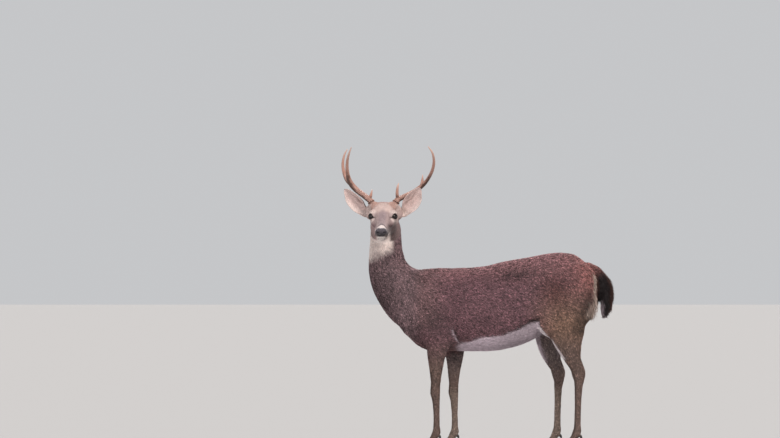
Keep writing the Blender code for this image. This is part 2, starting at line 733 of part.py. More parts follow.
def ear(side, sign, collection):
    """A leaf-shaped cup: a tube at the root that opens forwards and ends in a blunt point."""
    root = EAR_ROOT
    along = (EAR_TIP - root).normalized()
    faces = (EAR_OPENING - along * EAR_OPENING.dot(along)).normalized()
    crownwards = Vector((0, 0, 1)) - along * along.z
    crownwards = (crownwards - faces * faces.dot(crownwards)).normalized()
    bm = bmesh.new()
    loops = []
    around = 9
    for distance, shift, half, curl in EAR_SECTIONS:
        curl = math.radians(curl)
        radius = half / math.sin(min(curl, math.pi / 2))
        shell = min(EAR_SHELL, 0.6 * half)
        loop = []
        for inner in (False, True):
            reach = radius - shell if inner else radius
            margin = 0.90 if inner else 1.0
            for k in range(around):
                turn = (2 * k / (around - 1) - 1) * curl * margin
                if inner:
                    turn = -turn
                loop.append(
                    bm.verts.new(
                        root
                        + along * distance
                        + crownwards * (shift + reach * math.sin(turn))
                        + faces * (radius * math.cos(curl) - reach * math.cos(turn))
                    )
                )
        loops.append(loop)
    count = 2 * around
    for low, high in zip(loops, loops[1:]):
        for k in range(count):
            bm.faces.new((low[k], low[(k + 1) % count], high[(k + 1) % count], high[k]))
    bm.faces.new(loops[0][::-1])
    bm.faces.new(loops[-1])
    bmesh.ops.triangulate(bm, faces=bm.faces)
    turn = Matrix.Rotation(EAR_SWING[side], 4, "Z") @ Matrix.Rotation(-EAR_DROOP[side], 4, "X")
    set_back = Matrix.Translation(root) @ turn @ Matrix.Translation(-root)
    bm.transform(head_matrix() @ Matrix.Diagonal((1, sign, 1, 1)) @ set_back)
    return new_object(f"{side}_ear", bm, collection)


def nose_pad(head, collection):
    """The bare pad on the end of the muzzle, with two comma-shaped nostrils."""
    frame = head_matrix()
    bm = bmesh.new()
    place = Matrix.Translation(NOSE_CENTRE) @ Matrix.Diagonal((*NOSE_HALVES, 1))
    bmesh.ops.create_uvsphere(bm, u_segments=12, v_segments=8, radius=1, matrix=place)
    for vertex in bm.verts:  # flatter and wider above than below
        below = min(vertex.co.z - NOSE_CENTRE.z, 0) / NOSE_HALVES[2]
        vertex.co.y *= 1 + 0.28 * below
        vertex.co.x = min(vertex.co.x, NOSE_CENTRE.x + 0.0165)
    bm.transform(frame)
    pad = new_object("nose_pad", bm, collection)
    for sign in (1, -1):
        bm = bmesh.new()
        place = (
            Matrix.Translation(sided(NOSTRIL, sign))
            @ Matrix.Rotation(sign * math.radians(-30), 4, "X")
            @ Matrix.Rotation(sign * math.radians(35), 4, "Z")
            @ Matrix.Diagonal((*NOSTRIL_HALVES, 1))
        )
        bmesh.ops.create_uvsphere(bm, u_segments=8, v_segments=5, radius=1, matrix=place)
        bm.transform(frame)
        nostril = new_object("nostril", bm)
        combined(pad, nostril)
        removed(nostril)
    return largest(combined(pad, head))


def rod(name, tine, sign, grow=0.0, collection=None):
    """A length of antler as a loft through its points, grown by the given distance."""
    rings = [
        Ring(x, sign * y, z, radius + grow, radius + grow, radius + grow)
        for (x, y, z), radius in zip(tine.points, tine.radii)
    ]
    bm = bmesh.new()
    loft_into(bm, rings, Vector((1, 0, 0.2)), sides=7, steps=2)
    bm.transform(head_matrix())
    return new_object(name, bm, collection)


def antler(side, sign, head, collection):
    """The beam with its burr, seated on the head, and the tines that fork from it."""
    beam, tines = ANTLERS[side]
    frame = head_matrix()
    lower = rod(f"{side}_antler_beam", beam, sign, collection=collection)
    burr_at, above = (frame @ sided(point, sign) for point in beam.points[1:3])
    turn = (above - burr_at).to_track_quat("Z", "Y").to_matrix().to_4x4()
    bm = bmesh.new()
    place = Matrix.Translation(burr_at) @ turn @ Matrix.Diagonal((*BURR, 1))
    bmesh.ops.create_uvsphere(bm, u_segments=10, v_segments=5, radius=1, matrix=place)
    burr = new_object("burr", bm)
    combined(lower, burr, "UNION")
    largest(combined(lower, head))
    for name, tine in tines.items():
        piece = rod(f"{side}_antler_{name}", tine, sign, collection=collection)
        cutters = rod("core", beam, sign, grow=GAP), grown(burr, GAP)
        for cutter in cutters:
            combined(piece, cutter)
        removed(*cutters)
        largest(piece)
    removed(burr)


# Feet ---------------------------------------------------------------------------------------


def toe(name, foot, inward, collection):
    """One half of a cloven hoof: flat below, cut along the coronet above, pointed in front."""
    bm = bmesh.new()
    loops = []
    sides = 12
    for share in (0.0, 0.45, 1.0):  # from the ground up to the coronet
        length = TOE_LENGTH * (1 - 0.36 * share) / 2
        width = TOE_WIDTH * (1 - 0.10 * share) / 2
        loop = []
        for k in range(sides):
            angle = 2 * math.pi * k / sides
            forward, out = math.cos(angle), math.sin(angle)
            narrow = 1 - 0.45 * max(forward, 0) ** 2
            lean = 0.010 * share
            x = foot.x + lean - forward * length
            y = foot.y + out * width * narrow - inward * 0.003 * max(forward, 0)
            top = CORONET_HEIGHT - CORONET_SLOPE * (x - foot.x) - CUT / 2 - GAP
            loop.append(bm.verts.new((x, y, share * top)))
        loops.append(loop)
    for low, high in zip(loops, loops[1:]):
        for k in range(sides):
            bm.faces.new((low[k], low[(k + 1) % sides], high[(k + 1) % sides], high[k]))
    bm.faces.new(loops[0][::-1])
    bm.faces.new(loops[-1])
    obj = new_object(name, bm, collection)
    obj.data.set_sharp_from_angle(angle=math.radians(40))
    return obj


def dewclaw(name, centre, neighbour, collection):
    """A small claw behind the fetlock, set into the leg."""
    bm = bmesh.new()
    turn = Matrix.Rotation(DEWCLAW_LEAN, 4, "Y")
    place = Matrix.Translation(centre) @ turn @ Matrix.Diagonal((*DEWCLAW, 1))
    bmesh.ops.create_uvsphere(bm, u_segments=5, v_segments=4, radius=1, matrix=place)
    obj = new_object(name, bm, collection)
    cutter = grown(neighbour, GAP)
    combined(obj, cutter)
    removed(cutter)
    return largest(obj)


def foot(side, leg, foot_x, hoof_x, y, pieces, collection):
    """The two toes and the two dewclaws of one foot."""
    sign = SIDE_SIGN[side]
    for which, out in (("outer", sign), ("inner", -sign)):
        middle = Vector((foot_x + hoof_x, sign * y + out * TOE_SPREAD, 0))
        toe(f"{side}_{leg}_{which}_hoof", middle, out, collection)
        behind, spread, height = DEWCLAW_PLACE
        centre = Vector((foot_x + behind, sign * y + out * spread, height))
        pastern = pieces[f"{side}_{leg}_pastern"]
        dewclaw(f"{side}_{leg}_{which}_dewclaw", centre, pastern, collection)


# Finish -------------------------------------------------------------------------------------


def material(name):
    """A plain finish, made once for each name."""
    if name in bpy.data.materials:
        return bpy.data.materials[name]
    finish = bpy.data.materials.new(name)
    finish.use_nodes = True
    shader = finish.node_tree.nodes["Principled BSDF"]
    shader.inputs["Base Color"].default_value = (*COLOURS[name], 1)
    shader.inputs["Roughness"].default_value = ROUGHNESS.get(name, 0.85)
    finish.diffuse_color = (*COLOURS[name], 1)
    return finish


def finish_of(name):
    """The name of the finish that a node takes, by the words in the node's name."""
    for word, finish in (
        ("hoof", "hoof"),
        ("dewclaw", "hoof"),
        ("antler", "antler"),
        ("eye", "eye"),
        ("nose", "nose"),
        ("ear", "pale_coat"),
        ("tail", "tail_coat"),
    ):
        if word in name and "forearm" not in name:
            return finish
    return "coat"


def main():
    """Builds every piece and stands the buck with the middle of its bounding box over the origin."""
    for obj in list(bpy.data.objects):
        bpy.data.objects.remove(obj)
    buck = bpy.data.collections.new("white_tailed_buck")
    bpy.context.scene.collection.children.link(buck)
    pieces = parted(fused("body", body_mesh()), part_names(), buck)
    head = pieces["head"]
    head_sign = {"left": 1, "right": -1}  # in the frame of the head, +Y is its own left
    for side, sign in head_sign.items():
        eye(side, sign, head, buck)
    solid_head = grown(head, GAP)
    for side, sign in head_sign.items():
        largest(combined(ear(side, sign, buck), solid_head))
        antler(side, sign, solid_head, buck)
    nose_pad(solid_head, buck)
    removed(solid_head)
    for side in SIDE_SIGN:
        foot(side, "foreleg", FORE_FOOT_X[side], FORE_HOOF_X, FORE_FOOT_Y, pieces, buck)
        foot(side, "hindleg", HIND_FOOT_X[side], HIND_HOOF_X, HIND_FOOT_Y, pieces, buck)
    for obj in buck.objects:
        obj.data.materials.clear()
        obj.data.materials.append(material(finish_of(obj.name)))
    corners = [vertex.co for obj in buck.objects for vertex in obj.data.vertices]
    low = Vector(min(c[i] for c in corners) for i in range(3))
    high = Vector(max(c[i] for c in corners) for i in range(3))
    standing = Vector((-(low.x + high.x) / 2, -(low.y + high.y) / 2, -low.z))
    for obj in buck.objects:
        obj.location = standing


main()
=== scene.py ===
"""A white-tailed buck at life size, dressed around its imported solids.

One skin stands for all the flesh and lies inside it by the depth of the coat. Tufts of hair lie
over the skin, and the antlers, eyes, nose and hooves are pieces of their own. The buck stands
along X with its chest towards -X and its left side towards -Y, and it looks along -Y.
"""

from __future__ import annotations

import json
import logging
from collections.abc import Callable, Sequence
from dataclasses import dataclass, field
from enum import Enum
from math import atan2, copysign, cos, exp, pi, radians, sin
from typing import ClassVar

import bmesh
import bpy
import numpy as np
from mathutils import Matrix, Vector
from mathutils.bvhtree import BVHTree

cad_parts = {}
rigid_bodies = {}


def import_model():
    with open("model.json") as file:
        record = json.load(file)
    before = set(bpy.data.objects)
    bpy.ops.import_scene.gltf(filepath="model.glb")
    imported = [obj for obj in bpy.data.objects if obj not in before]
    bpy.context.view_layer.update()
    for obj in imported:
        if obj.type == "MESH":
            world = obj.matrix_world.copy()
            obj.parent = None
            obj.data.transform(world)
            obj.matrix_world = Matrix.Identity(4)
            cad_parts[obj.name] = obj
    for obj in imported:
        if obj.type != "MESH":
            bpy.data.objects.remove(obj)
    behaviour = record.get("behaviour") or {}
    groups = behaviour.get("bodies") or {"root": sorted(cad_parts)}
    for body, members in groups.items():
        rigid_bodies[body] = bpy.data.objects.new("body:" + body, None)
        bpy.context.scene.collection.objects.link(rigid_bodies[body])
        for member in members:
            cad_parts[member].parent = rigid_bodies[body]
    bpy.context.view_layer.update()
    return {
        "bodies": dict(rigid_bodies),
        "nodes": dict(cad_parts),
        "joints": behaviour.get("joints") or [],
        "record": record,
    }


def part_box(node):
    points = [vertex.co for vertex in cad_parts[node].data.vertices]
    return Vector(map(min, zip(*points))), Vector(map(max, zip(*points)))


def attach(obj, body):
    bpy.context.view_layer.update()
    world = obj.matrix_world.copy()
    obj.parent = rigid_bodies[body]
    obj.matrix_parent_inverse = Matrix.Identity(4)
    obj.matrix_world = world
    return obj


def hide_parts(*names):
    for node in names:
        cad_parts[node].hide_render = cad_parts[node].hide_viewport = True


LOG = logging.getLogger("buck")
BODY = "root"
SEED = 1885
Triple = tuple[float, float, float]
Colour = Triple
Array = np.ndarray
Shape = bmesh.types.BMesh
Object = bpy.types.Object
Finish = bpy.types.Material

# Where the drawing of the solids puts the middle of the eyes, before the buck is centred.
EYES_ON_THE_DRAWING = Vector((-0.46, -0.115, 1.15))


class Side(Enum):
    """The buck's own left or right."""

    LEFT = "left"
    RIGHT = "right"

    @property
    def head_sign(self) -> int:
        """The sign of Y on this side in the frame of the head."""
        return 1 if self is Side.LEFT else -1

    def mirrored(self, place: Sequence[float]) -> Vector:
        """A place on the left of the head, or the same place on this side."""
        return Vector((place[0], self.head_sign * place[1], place[2]))

    @property
    def body_sign(self) -> int:
        """The sign of Y on this side in the frame of the body."""
        return -self.head_sign


# Arrays ------------------------------------------


def ease(values: Array, low: float, high: float) -> Array:
    """0 at low, 1 at high, and smooth between them; low may be above high."""
    share = np.clip((values - low) / (high - low), 0, 1)
    return share * share * (3 - 2 * share)


def bell(values: Array, middle: float, width: float) -> Array:
    """1 at the middle, falling smoothly to nothing at about twice the width."""
    return np.exp(-(((values - middle) / width) ** 2))


def unit(vectors: Array) -> Array:
    """The vectors, each made one long."""
    return vectors / np.maximum(np.linalg.norm(vectors, axis=1, keepdims=True), 1e-9)


def laid_on(vectors: Array, normals: Array) -> Array:
    """The vectors laid flat on the surface that has the normals, each made one long."""
    return unit(vectors - normals * np.sum(vectors * normals, axis=1, keepdims=True))


def towards(colours: Array, colour: Sequence[float], share: Array) -> Array:
    """Each colour moved towards one colour by its share."""
    return colours + (np.asarray(colour) - colours) * np.clip(share, 0, 1)[:, None]


def wander(points: Array, size: float, seed: int = 0) -> Array:
    """Smooth noise from -1 to 1 whose humps are about size across.

    Args:
        points: Places, one for each row.
        size: Distance between the grid points of the noise.
        seed: Chooses the pattern.

    Returns:
        One value for each point.
    """
    grid = points / size + 1000.0
    low = np.floor(grid).astype(np.int64)
    share = grid - low
    share = share * share * (3 - 2 * share)
    total = np.zeros(len(points))
    for corner in range(8):
        offset = np.array([corner & 1, corner >> 1 & 1, corner >> 2 & 1])
        mixed = (low + offset) @ np.array([374761393, 668265263, 2147483647]) + seed * 144665
        for _ in range(2):
            mixed = ((mixed ^ (mixed >> 15)) * 2246822519) & 0xFFFFFFFF
        value = (mixed >> 8 & 0xFFFF) / 32767.5 - 1
        total += value * np.prod(np.where(offset == 1, share, 1 - share), axis=1)
    return total


def along_curve(rows: Array, index: int, share: float) -> Array:
    """A point on a smooth curve through the rows, by its share of the way to the next row."""
    ends = np.vstack([2 * rows[0] - rows[1], rows, 2 * rows[-1] - rows[-2]])
    a, b, c, d = ends[index : index + 4]
    bend, twist = 2 * a - 5 * b + 4 * c - d, 3 * b - a - 3 * c + d
    return 0.5 * (2 * b + (c - a) * share + bend * share**2 + twist * share**3)


def turned(vectors: Array, axes: Array, angles: Array) -> Array:
    """Each vector turned about its own axis, which it stands square to, by its own angle."""
    return vectors * np.cos(angles)[:, None] + np.cross(axes, vectors) * np.sin(angles)[:, None]


class Surface:
    """A triangle mesh as arrays: its points, normals, edges and triangles."""

    def __init__(self, mesh: bpy.types.Mesh) -> None:
        """Reads the mesh."""
        self.mesh = mesh
        mesh.calc_loop_triangles()
        self.points = self.rows(mesh.vertices, "co", 3, float)
        self.edges = self.rows(mesh.edges, "vertices", 2, np.int64)
        self.triangles = self.rows(mesh.loop_triangles, "vertices", 3, np.int64)
        ends = np.bincount(self.edges.ravel(), minlength=len(self.points))
        self.degree = np.maximum(ends, 1)[:, None]

    @staticmethod
    def rows(parts: Sequence, field_name: str, width: int, kind: type) -> Array:
        """One field of all the mesh's points, edges or triangles, with a row for each."""
        values = np.empty(len(parts) * width, kind)
        parts.foreach_get(field_name, values)
        return values.reshape(-1, width)

    @property
    def normals(self) -> Array:
        """The normal at each point, weighted by the areas of its triangles."""
        a, b, c = (self.points[self.triangles[:, k]] for k in range(3))
        face = np.cross(b - a, c - a)
        total = np.empty_like(self.points)
        for axis in range(3):
            total[:, axis] = sum(
                np.bincount(self.triangles[:, k], face[:, axis], len(self.points)) for k in range(3)
            )
        return unit(total)

    def around(self, values: Array) -> Array:
        """The mean of each point's neighbours, for values with one row for each point."""
        first, second = self.edges.T
        total = np.empty_like(values)
        for column in range(values.shape[1]):
            kind = values[:, column]
            total[:, column] = np.bincount(first, kind[second], len(kind))
            total[:, column] += np.bincount(second, kind[first], len(kind))
        return total / self.degree

    def softened(self, values: Array, passes: int) -> Array:
        """Values spread over the surface until their borders are smooth."""
        rows = values.reshape(len(values), -1)
        for _ in range(passes):
            rows = 0.4 * rows + 0.6 * self.around(rows)
        return rows.reshape(values.shape)

    def relax(self, share: Array, passes: int) -> None:
        """Smooths the points where share is near 1, without shrinking the form."""
        share = share[:, None]
        for _ in range(passes):
            for strength in (0.55, -0.57):
                self.points += strength * share * (self.around(self.points) - self.points)

    def store(self) -> None:
        """Writes the points back to the mesh."""
        self.mesh.vertices.foreach_set("co", self.points.ravel())
        self.mesh.update()

    def keep(self, name: str, values: Array) -> None:
        """Stores numbers or colours at the points."""
        keep(self.mesh, name, values)


def keep(mesh: bpy.types.Mesh, name: str, values: Array) -> None:
    """Stores a number or a colour at each point of a mesh, under a name that a finish reads."""
    if values.ndim == 1:
        attribute = mesh.attributes.new(name, "FLOAT", "POINT")
        attribute.data.foreach_set("value", values.astype(np.float32))
    else:
        attribute = mesh.attributes.new(name, "FLOAT_COLOR", "POINT")
        values = np.hstack([values, np.ones((len(values), 1))])
        attribute.data.foreach_set("color", values.astype(np.float32).ravel())


# Objects -----------------------------------------


def linked(name: str, data: bpy.types.ID) -> Object:
    """Puts a new object with its data in the scene."""
    obj = bpy.data.objects.new(name, data)
    bpy.context.scene.collection.objects.link(obj)
    return obj


def piece(name: str, mesh: bpy.types.Mesh) -> Object:
    """Links a mesh as a smooth-shaded object at the origin."""
    mesh.name = name
    mesh.shade_smooth()
    return linked(name, mesh)


def piece_of(name: str, shape: Shape) -> Object:
    """Links a bmesh as a smooth-shaded object, with its faces outwards, and frees it."""
    bmesh.ops.recalc_face_normals(shape, faces=shape.faces)
    if shape.calc_volume(signed=True) < 0:
        bmesh.ops.reverse_faces(shape, faces=shape.faces)
    mesh = bpy.data.meshes.new(name)
    shape.to_mesh(mesh)
    shape.free()
    return piece(name, mesh)


def dress(obj: Object, finish: Finish) -> Object:
    """Gives an object one finish all over."""
    obj.data.materials.clear()
    obj.data.materials.append(finish)
    return obj


def evaluated(obj: Object) -> bpy.types.Mesh:
    """What an object looks like with its modifiers, as a new mesh."""
    graph = bpy.context.evaluated_depsgraph_get()
    return bpy.data.meshes.new_from_object(obj.evaluated_get(graph), depsgraph=graph)


def applied(obj: Object) -> Object:
    """Bakes the object's modifiers into its mesh."""
    mesh, old = evaluated(obj), obj.data
    obj.modifiers.clear()
    obj.data = mesh
    bpy.data.meshes.remove(old)
    mesh.shade_smooth()
    return obj


def fused(obj: Object, voxel: float) -> Object:
    """Joins an object's overlapping shells into one even surface."""
    remesh = obj.modifiers.new("fuse", "REMESH")
    remesh.mode = "VOXEL"
    remesh.voxel_size = voxel
    return applied(obj)


def combined(obj: Object, other: Object, operation: str) -> Object:
    """Joins the object with another, or cuts it with another, and deletes the other.

    Args:
        obj: The object that is changed.
        other: The object that it is joined or cut with.
        operation: UNION or DIFFERENCE.

    Returns:
        The changed object.
    """
    boolean = obj.modifiers.new("join", "BOOLEAN")
    boolean.operation = operation
    boolean.solver = "MANIFOLD"
    boolean.object = other
    bpy.context.view_layer.update()
    applied(obj)
    bpy.data.objects.remove(other)
    return obj


def copied(nodes: Sequence[Object], grow: float = 0.0) -> Shape:
    """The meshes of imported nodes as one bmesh, each swollen a little so that neighbours overlap."""
    shape = bmesh.new()
    for node in nodes:
        shape.from_mesh(node.data)
    bmesh.ops.remove_doubles(shape, verts=shape.verts, dist=1e-5)
    shape.normal_update()
    for vertex in shape.verts:
        vertex.co += vertex.normal * grow
    return shape


# The frame of the head ---------------------------


@dataclass(frozen=True)
class HeadFrame:
    """The head's own axes: X towards the nose, Y to the buck's left, Z up, from between the eyes."""

    turn: float = radians(87)
    dip: float = radians(8)
    eye_ahead: float = 0.014

    @property
    def axes(self) -> Matrix:
        """The turn from the head's axes to the buck's."""
        return (Matrix.Rotation(pi + self.turn, 4, "Z") @ Matrix.Rotation(self.dip, 4, "Y")).to_3x3()

    @property
    def origin(self) -> Vector:
        """The point between the eyes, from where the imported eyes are."""
        corners = [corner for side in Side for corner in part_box(f"{side.value}_eye")]
        middle = sum(corners, Vector()) / len(corners)
        return middle - self.axes @ Vector((self.eye_ahead, 0, 0))

    @property
    def matrix(self) -> Matrix:
        """Places a shape made in the head's frame in the buck's."""
        return Matrix.Translation(self.origin) @ self.axes.to_4x4()

    def read(self, points: Array) -> Array:
        """Points of the buck's frame in the head's."""
        return (points - np.array(self.origin)) @ np.array(self.axes)

    def aimed(self, vectors: Array) -> Array:
        """Directions of the head's frame in the buck's."""
        return vectors @ np.array(self.axes).T

    def shift(self) -> Array:
        """How far the buck was moved to centre it over the origin."""
        return np.array(self.origin - EYES_ON_THE_DRAWING)


# Finishes ----------------------------------------


@dataclass(frozen=True)
class Value:
    """An output of a shader node that can be used in sums."""

    graph: Graph
    socket: bpy.types.NodeSocket

    def _sum(self, operation: str, other: object) -> Value:
        """A Math node on this value and another."""
        return self.graph.node("ShaderNodeMath", {"operation": operation}, {0: self, 1: other})

    def __add__(self, other: object) -> Value:
        """self + other."""
        return self._sum("ADD", other)

    def __sub__(self, other: object) -> Value:
        """self - other."""
        return self._sum("SUBTRACT", other)

    def __mul__(self, other: object) -> Value:
        """self * other."""
        return self._sum("MULTIPLY", other)


class Graph:
    """The nodes of one finish."""

    def __init__(self, name: str) -> None:
        """Starts a finish with its shader and nothing that varies."""
        self.material = bpy.data.materials.new(name)
        self.material.use_nodes = True
        self.tree = self.material.node_tree
        self.shader = self.tree.nodes["Principled BSDF"]

    def node(self, kind: str, settings: dict, inputs: dict, output: int | str = 0) -> Value:
        """Adds any node.

        Args:
            kind: The node's type.
            settings: Its own settings.
            inputs: Numbers, colours or values for its sockets, by name or place.
            output: The socket that is used.

        Returns:
            The output.
        """
        made = self.tree.nodes.new(kind)
        for name, setting in settings.items():
            setattr(made, name, setting)
        for name, value in inputs.items():
            self.feed(made.inputs[name], value)
        return Value(self, made.outputs[output])

    def feed(self, socket: bpy.types.NodeSocket, value: object) -> None:
        """Links a value to a socket, or sets the socket to a number, colour or vector."""
        if isinstance(value, Value):
            self.tree.links.new(value.socket, socket)
        elif isinstance(value, tuple) and len(value) == 3 and socket.type == "RGBA":
            socket.default_value = (*value, 1)
        else:
            socket.default_value = value

    def stored(self, name: str, output: str = "Fac") -> Value:
        """An attribute that the mesh holds."""
        return self.node("ShaderNodeAttribute", {"attribute_name": name}, {}, output)

    def place(self, squeeze: Triple = (1, 1, 1)) -> Value:
        """The object's own coordinates, multiplied along each axis."""
        at = self.node("ShaderNodeTexCoord", {}, {}, "Object")
        return self.node("ShaderNodeMapping", {}, {"Vector": at, "Scale": squeeze})

    def noise(self, scale: float, detail: float, squeeze: Triple = (1, 1, 1)) -> Value:
        """Cloudy noise from 0 to 1."""
        inputs = {"Vector": self.place(squeeze), "Scale": scale, "Detail": detail, "Roughness": 0.55}
        return self.node("ShaderNodeTexNoise", {}, inputs, "Fac")

    def marked(self, shade: Value) -> Value:
        """The markings that the mesh holds, made lighter or darker by a shade near 1."""
        grey = self.node("ShaderNodeCombineColor", {}, {0: shade, 1: shade, 2: shade})
        return self.mixed(1.0, self.stored("markings", "Color"), grey, "MULTIPLY")

    def between(self, value: Value, low: float, high: float) -> Value:
        """0 where the value is at low, 1 where it is at high."""
        inputs = {"Value": value, "From Min": low, "From Max": high}
        return self.node("ShaderNodeMapRange", {"interpolation_type": "SMOOTHSTEP"}, inputs)

    def blend(self, share: object, first: object, second: object) -> Value:
        """Two numbers mixed by a share."""
        return self.node("ShaderNodeMix", {"data_type": "FLOAT"}, {0: share, 2: first, 3: second})

    def mixed(self, share: object, first: object, second: object, blend: str = "MIX") -> Value:
        """Two colours mixed by a share."""
        settings = {"data_type": "RGBA", "blend_type": blend}
        return self.node("ShaderNodeMix", settings, {0: share, 6: first, 7: second}, 2)

    def bump(self, height: Value, distance: float) -> Value:
        """A normal that rises and falls with a height from 0 to 1 over a distance in metres."""
        return self.node("ShaderNodeBump", {}, {"Height": height, "Distance": distance}, "Normal")

    def finish(self, **sockets: object) -> Finish:
        """Sets the shader's sockets, named with underscores for spaces, and returns the material."""
        for name, value in sockets.items():
            self.feed(self.shader.inputs[name.replace("_", " ")], value)
        return self.material


@dataclass(frozen=True)
class CoatFinish:
    """Short hair: the markings stored on the mesh, broken up by fine streaks."""

    name: str
    streak: float = 0.34
    depth: float = 0.0012
    roughness: float = 0.72
    sheen: float = 0.1

    def material(self) -> Finish:
        """The finish as a material."""
        graph = Graph(self.name)
        along_the_back = graph.noise(1.0, 4.0, (55, 420, 420))
        down_the_legs = graph.noise(1.0, 4.0, (420, 420, 55))
        from_the_nose = graph.noise(1.0, 4.0, (760, 150, 760))
        streaks = graph.blend(graph.stored("upright"), along_the_back, down_the_legs)
        streaks = graph.blend(graph.stored("facial"), streaks, from_the_nose)
        grain = graph.noise(900.0, 2.0)
        shade = graph.between(streaks * 0.7 + grain * 0.3, 0.3, 0.7)
        shade = shade * (2 * self.streak) + (1 - self.streak)
        return graph.finish(
            Base_Color=graph.marked(shade),
            Roughness=self.roughness,
            Normal=graph.bump(streaks * 0.75 + grain * 0.25, self.depth),
            Sheen_Weight=self.sheen,
            Sheen_Roughness=0.5,
            Specular_IOR_Level=0.25,
        )


@dataclass(frozen=True)
class TuftFinish:
    """The hair of the tufts, with a soft shine; dark hair is banded, and looks speckled."""

    name: str = "hair"
    roughness: float = 0.62
    speckle: float = 0.78  # how much lighter or darker the banded hair is from spot to spot

    def material(self) -> Finish:
        """The finish as a material."""
        graph = Graph(self.name)
        grain = graph.noise(700.0, 2.0)
        spots = graph.noise(210.0, 1.0)
        spots = (graph.between(spots, 0.28, 0.72) * 2.0 - 1.0) * graph.stored("banded") * self.speckle
        shade = graph.between(grain, 0.3, 0.7) * 0.24 + 0.88 + spots
        return graph.finish(
            Base_Color=graph.marked(shade),
            Roughness=self.roughness,
            Sheen_Weight=0.08,
            Specular_IOR_Level=0.22,
        )


@dataclass(frozen=True)
class AntlerFinish:
    """Weathered antler: brown in grooves and low down, with painted shade beneath; pale at rubs and tips.
    """

    name: str = "antler_bone"
    groove_and_shade: Colour = (0.085, 0.042, 0.032)
    rubbed: Colour = (0.46, 0.25, 0.195)
    tip: Colour = (0.7, 0.47, 0.39)

    def material(self) -> Finish:
        """The finish as a material."""
        graph = Graph(self.name)
        ridge, along = graph.stored("ridge"), graph.stored("along")
        cloud = graph.noise(60.0, 4.0)
        grain = graph.noise(650.0, 3.0)
        rubbed = graph.between(ridge * 0.8 + cloud * 0.5 + along * 0.25, 0.35, 0.95)
        colour = graph.mixed(rubbed, self.groove_and_shade, self.rubbed)
        colour = graph.mixed(graph.between(along, 0.72, 1.0) * 0.8, colour, self.tip)
        height = cloud * 0.2 + grain * 0.25 + ridge * 0.55
        return graph.finish(
            Base_Color=colour,
            Roughness=graph.between(grain, 0.2, 0.8) * 0.2 + 0.38,
            Normal=graph.bump(height, 0.0006),
        )


@dataclass(frozen=True)
class HornFinish:
    """The horn of hooves and dewclaws: near black, with growth rings and a worn, paler edge."""

    name: str = "hoof_horn"
    dark: Colour = (0.022, 0.018, 0.016)
    worn: Colour = (0.16, 0.125, 0.1)

    def material(self) -> Finish:
        """The finish as a material."""
        graph = Graph(self.name)
        rings = graph.noise(1.0, 3.0, (12, 12, 520))
        scuffs = graph.noise(170.0, 5.0)
        worn = graph.between(graph.stored("worn") + scuffs * 0.5, 0.55, 1.2)
        return graph.finish(
            Base_Color=graph.mixed(worn * 0.8, self.dark, self.worn),
            Roughness=graph.between(scuffs, 0.2, 0.8) * 0.3 + 0.3,
            Normal=graph.bump(rings * 0.7 + scuffs * 0.3, 0.0007),
        )


@dataclass(frozen=True)
class EyeFinish:
    """A wet, very dark brown eye with a wide, level pupil and a thin paler rim."""

    name: str = "wet_eye"
    white: Colour = (0.3, 0.24, 0.2)
    rim: Colour = (0.01, 0.006, 0.005)
    iris: Colour = (0.022, 0.011, 0.008)
    pupil: Colour = (0.004, 0.004, 0.006)

    def material(self) -> Finish:
        """The finish as a material."""
        graph = Graph(self.name)
        aside, pupil = graph.stored("aside"), graph.stored("pupil")
        fibres = graph.noise(1500.0, 3.0)
        iris = graph.mixed(fibres, self.iris, self.rim)
        colour = graph.mixed(graph.between(pupil, 0.85, 1.0), self.pupil, iris)
        colour = graph.mixed(graph.between(aside, 0.6, 0.72), colour, self.rim)
        colour = graph.mixed(graph.between(aside, 1.02, 1.15), colour, self.white)
        return graph.finish(Base_Color=colour, Roughness=0.05, Specular_IOR_Level=0.38)


@dataclass(frozen=True)
class NoseFinish:
    """Moist, pebbled, near-black skin, with painted light on top of the pad and painted shade below."""

    name: str = "moist_nose"
    # painted highlight on the top of the pad, and painted shade over the rest
    high: Colour = (0.13, 0.107, 0.13)
    shaded: Colour = (0.03, 0.024, 0.028)
    low: Colour = (0.014, 0.011, 0.013)

    def material(self) -> Finish:
        """The finish as a material."""
        graph = Graph(self.name)
        settings = {"feature": "DISTANCE_TO_EDGE"}
        inputs = {"Vector": graph.place(), "Scale": 520.0}
        cells = graph.node("ShaderNodeTexVoronoi", settings, inputs, "Distance")
        pebbles = graph.between(cells, 0.0, 0.22)
        cloud = graph.noise(120.0, 3.0)
        lit_and_shaded = graph.mixed(graph.stored("crest"), self.shaded, self.high)
        return graph.finish(
            Base_Color=graph.mixed(pebbles * 0.7 + cloud * 0.3, self.low, lit_and_shaded),
            Roughness=graph.between(cloud, 0.3, 0.7) * 0.16 + 0.26,
            Normal=graph.bump(pebbles, 0.0005),
        )


@dataclass(frozen=True)
class FloorFinish:
    """A plain pale floor."""

    name: str = "studio_floor"
    colour: Colour = (0.4, 0.395, 0.39)

    def material(self) -> Finish:
        """The finish as a material."""
        graph = Graph(self.name)
        return graph.finish(Base_Color=self.colour, Roughness=0.9, Specular_IOR_Level=0.1)


# The coat: its depth, its lie and its markings ---


@dataclass(frozen=True)
class Pelt:
    """The hair of one part of the body, in metres and degrees."""

    depth: float  # how far the skin lies inside the outline
    length: float
    width: float
    lift: float  # how far a tuft stands off the skin

    def row(self) -> list[float]:
        """The numbers as one row of a table."""
        return [self.depth, self.length, self.width, self.lift]


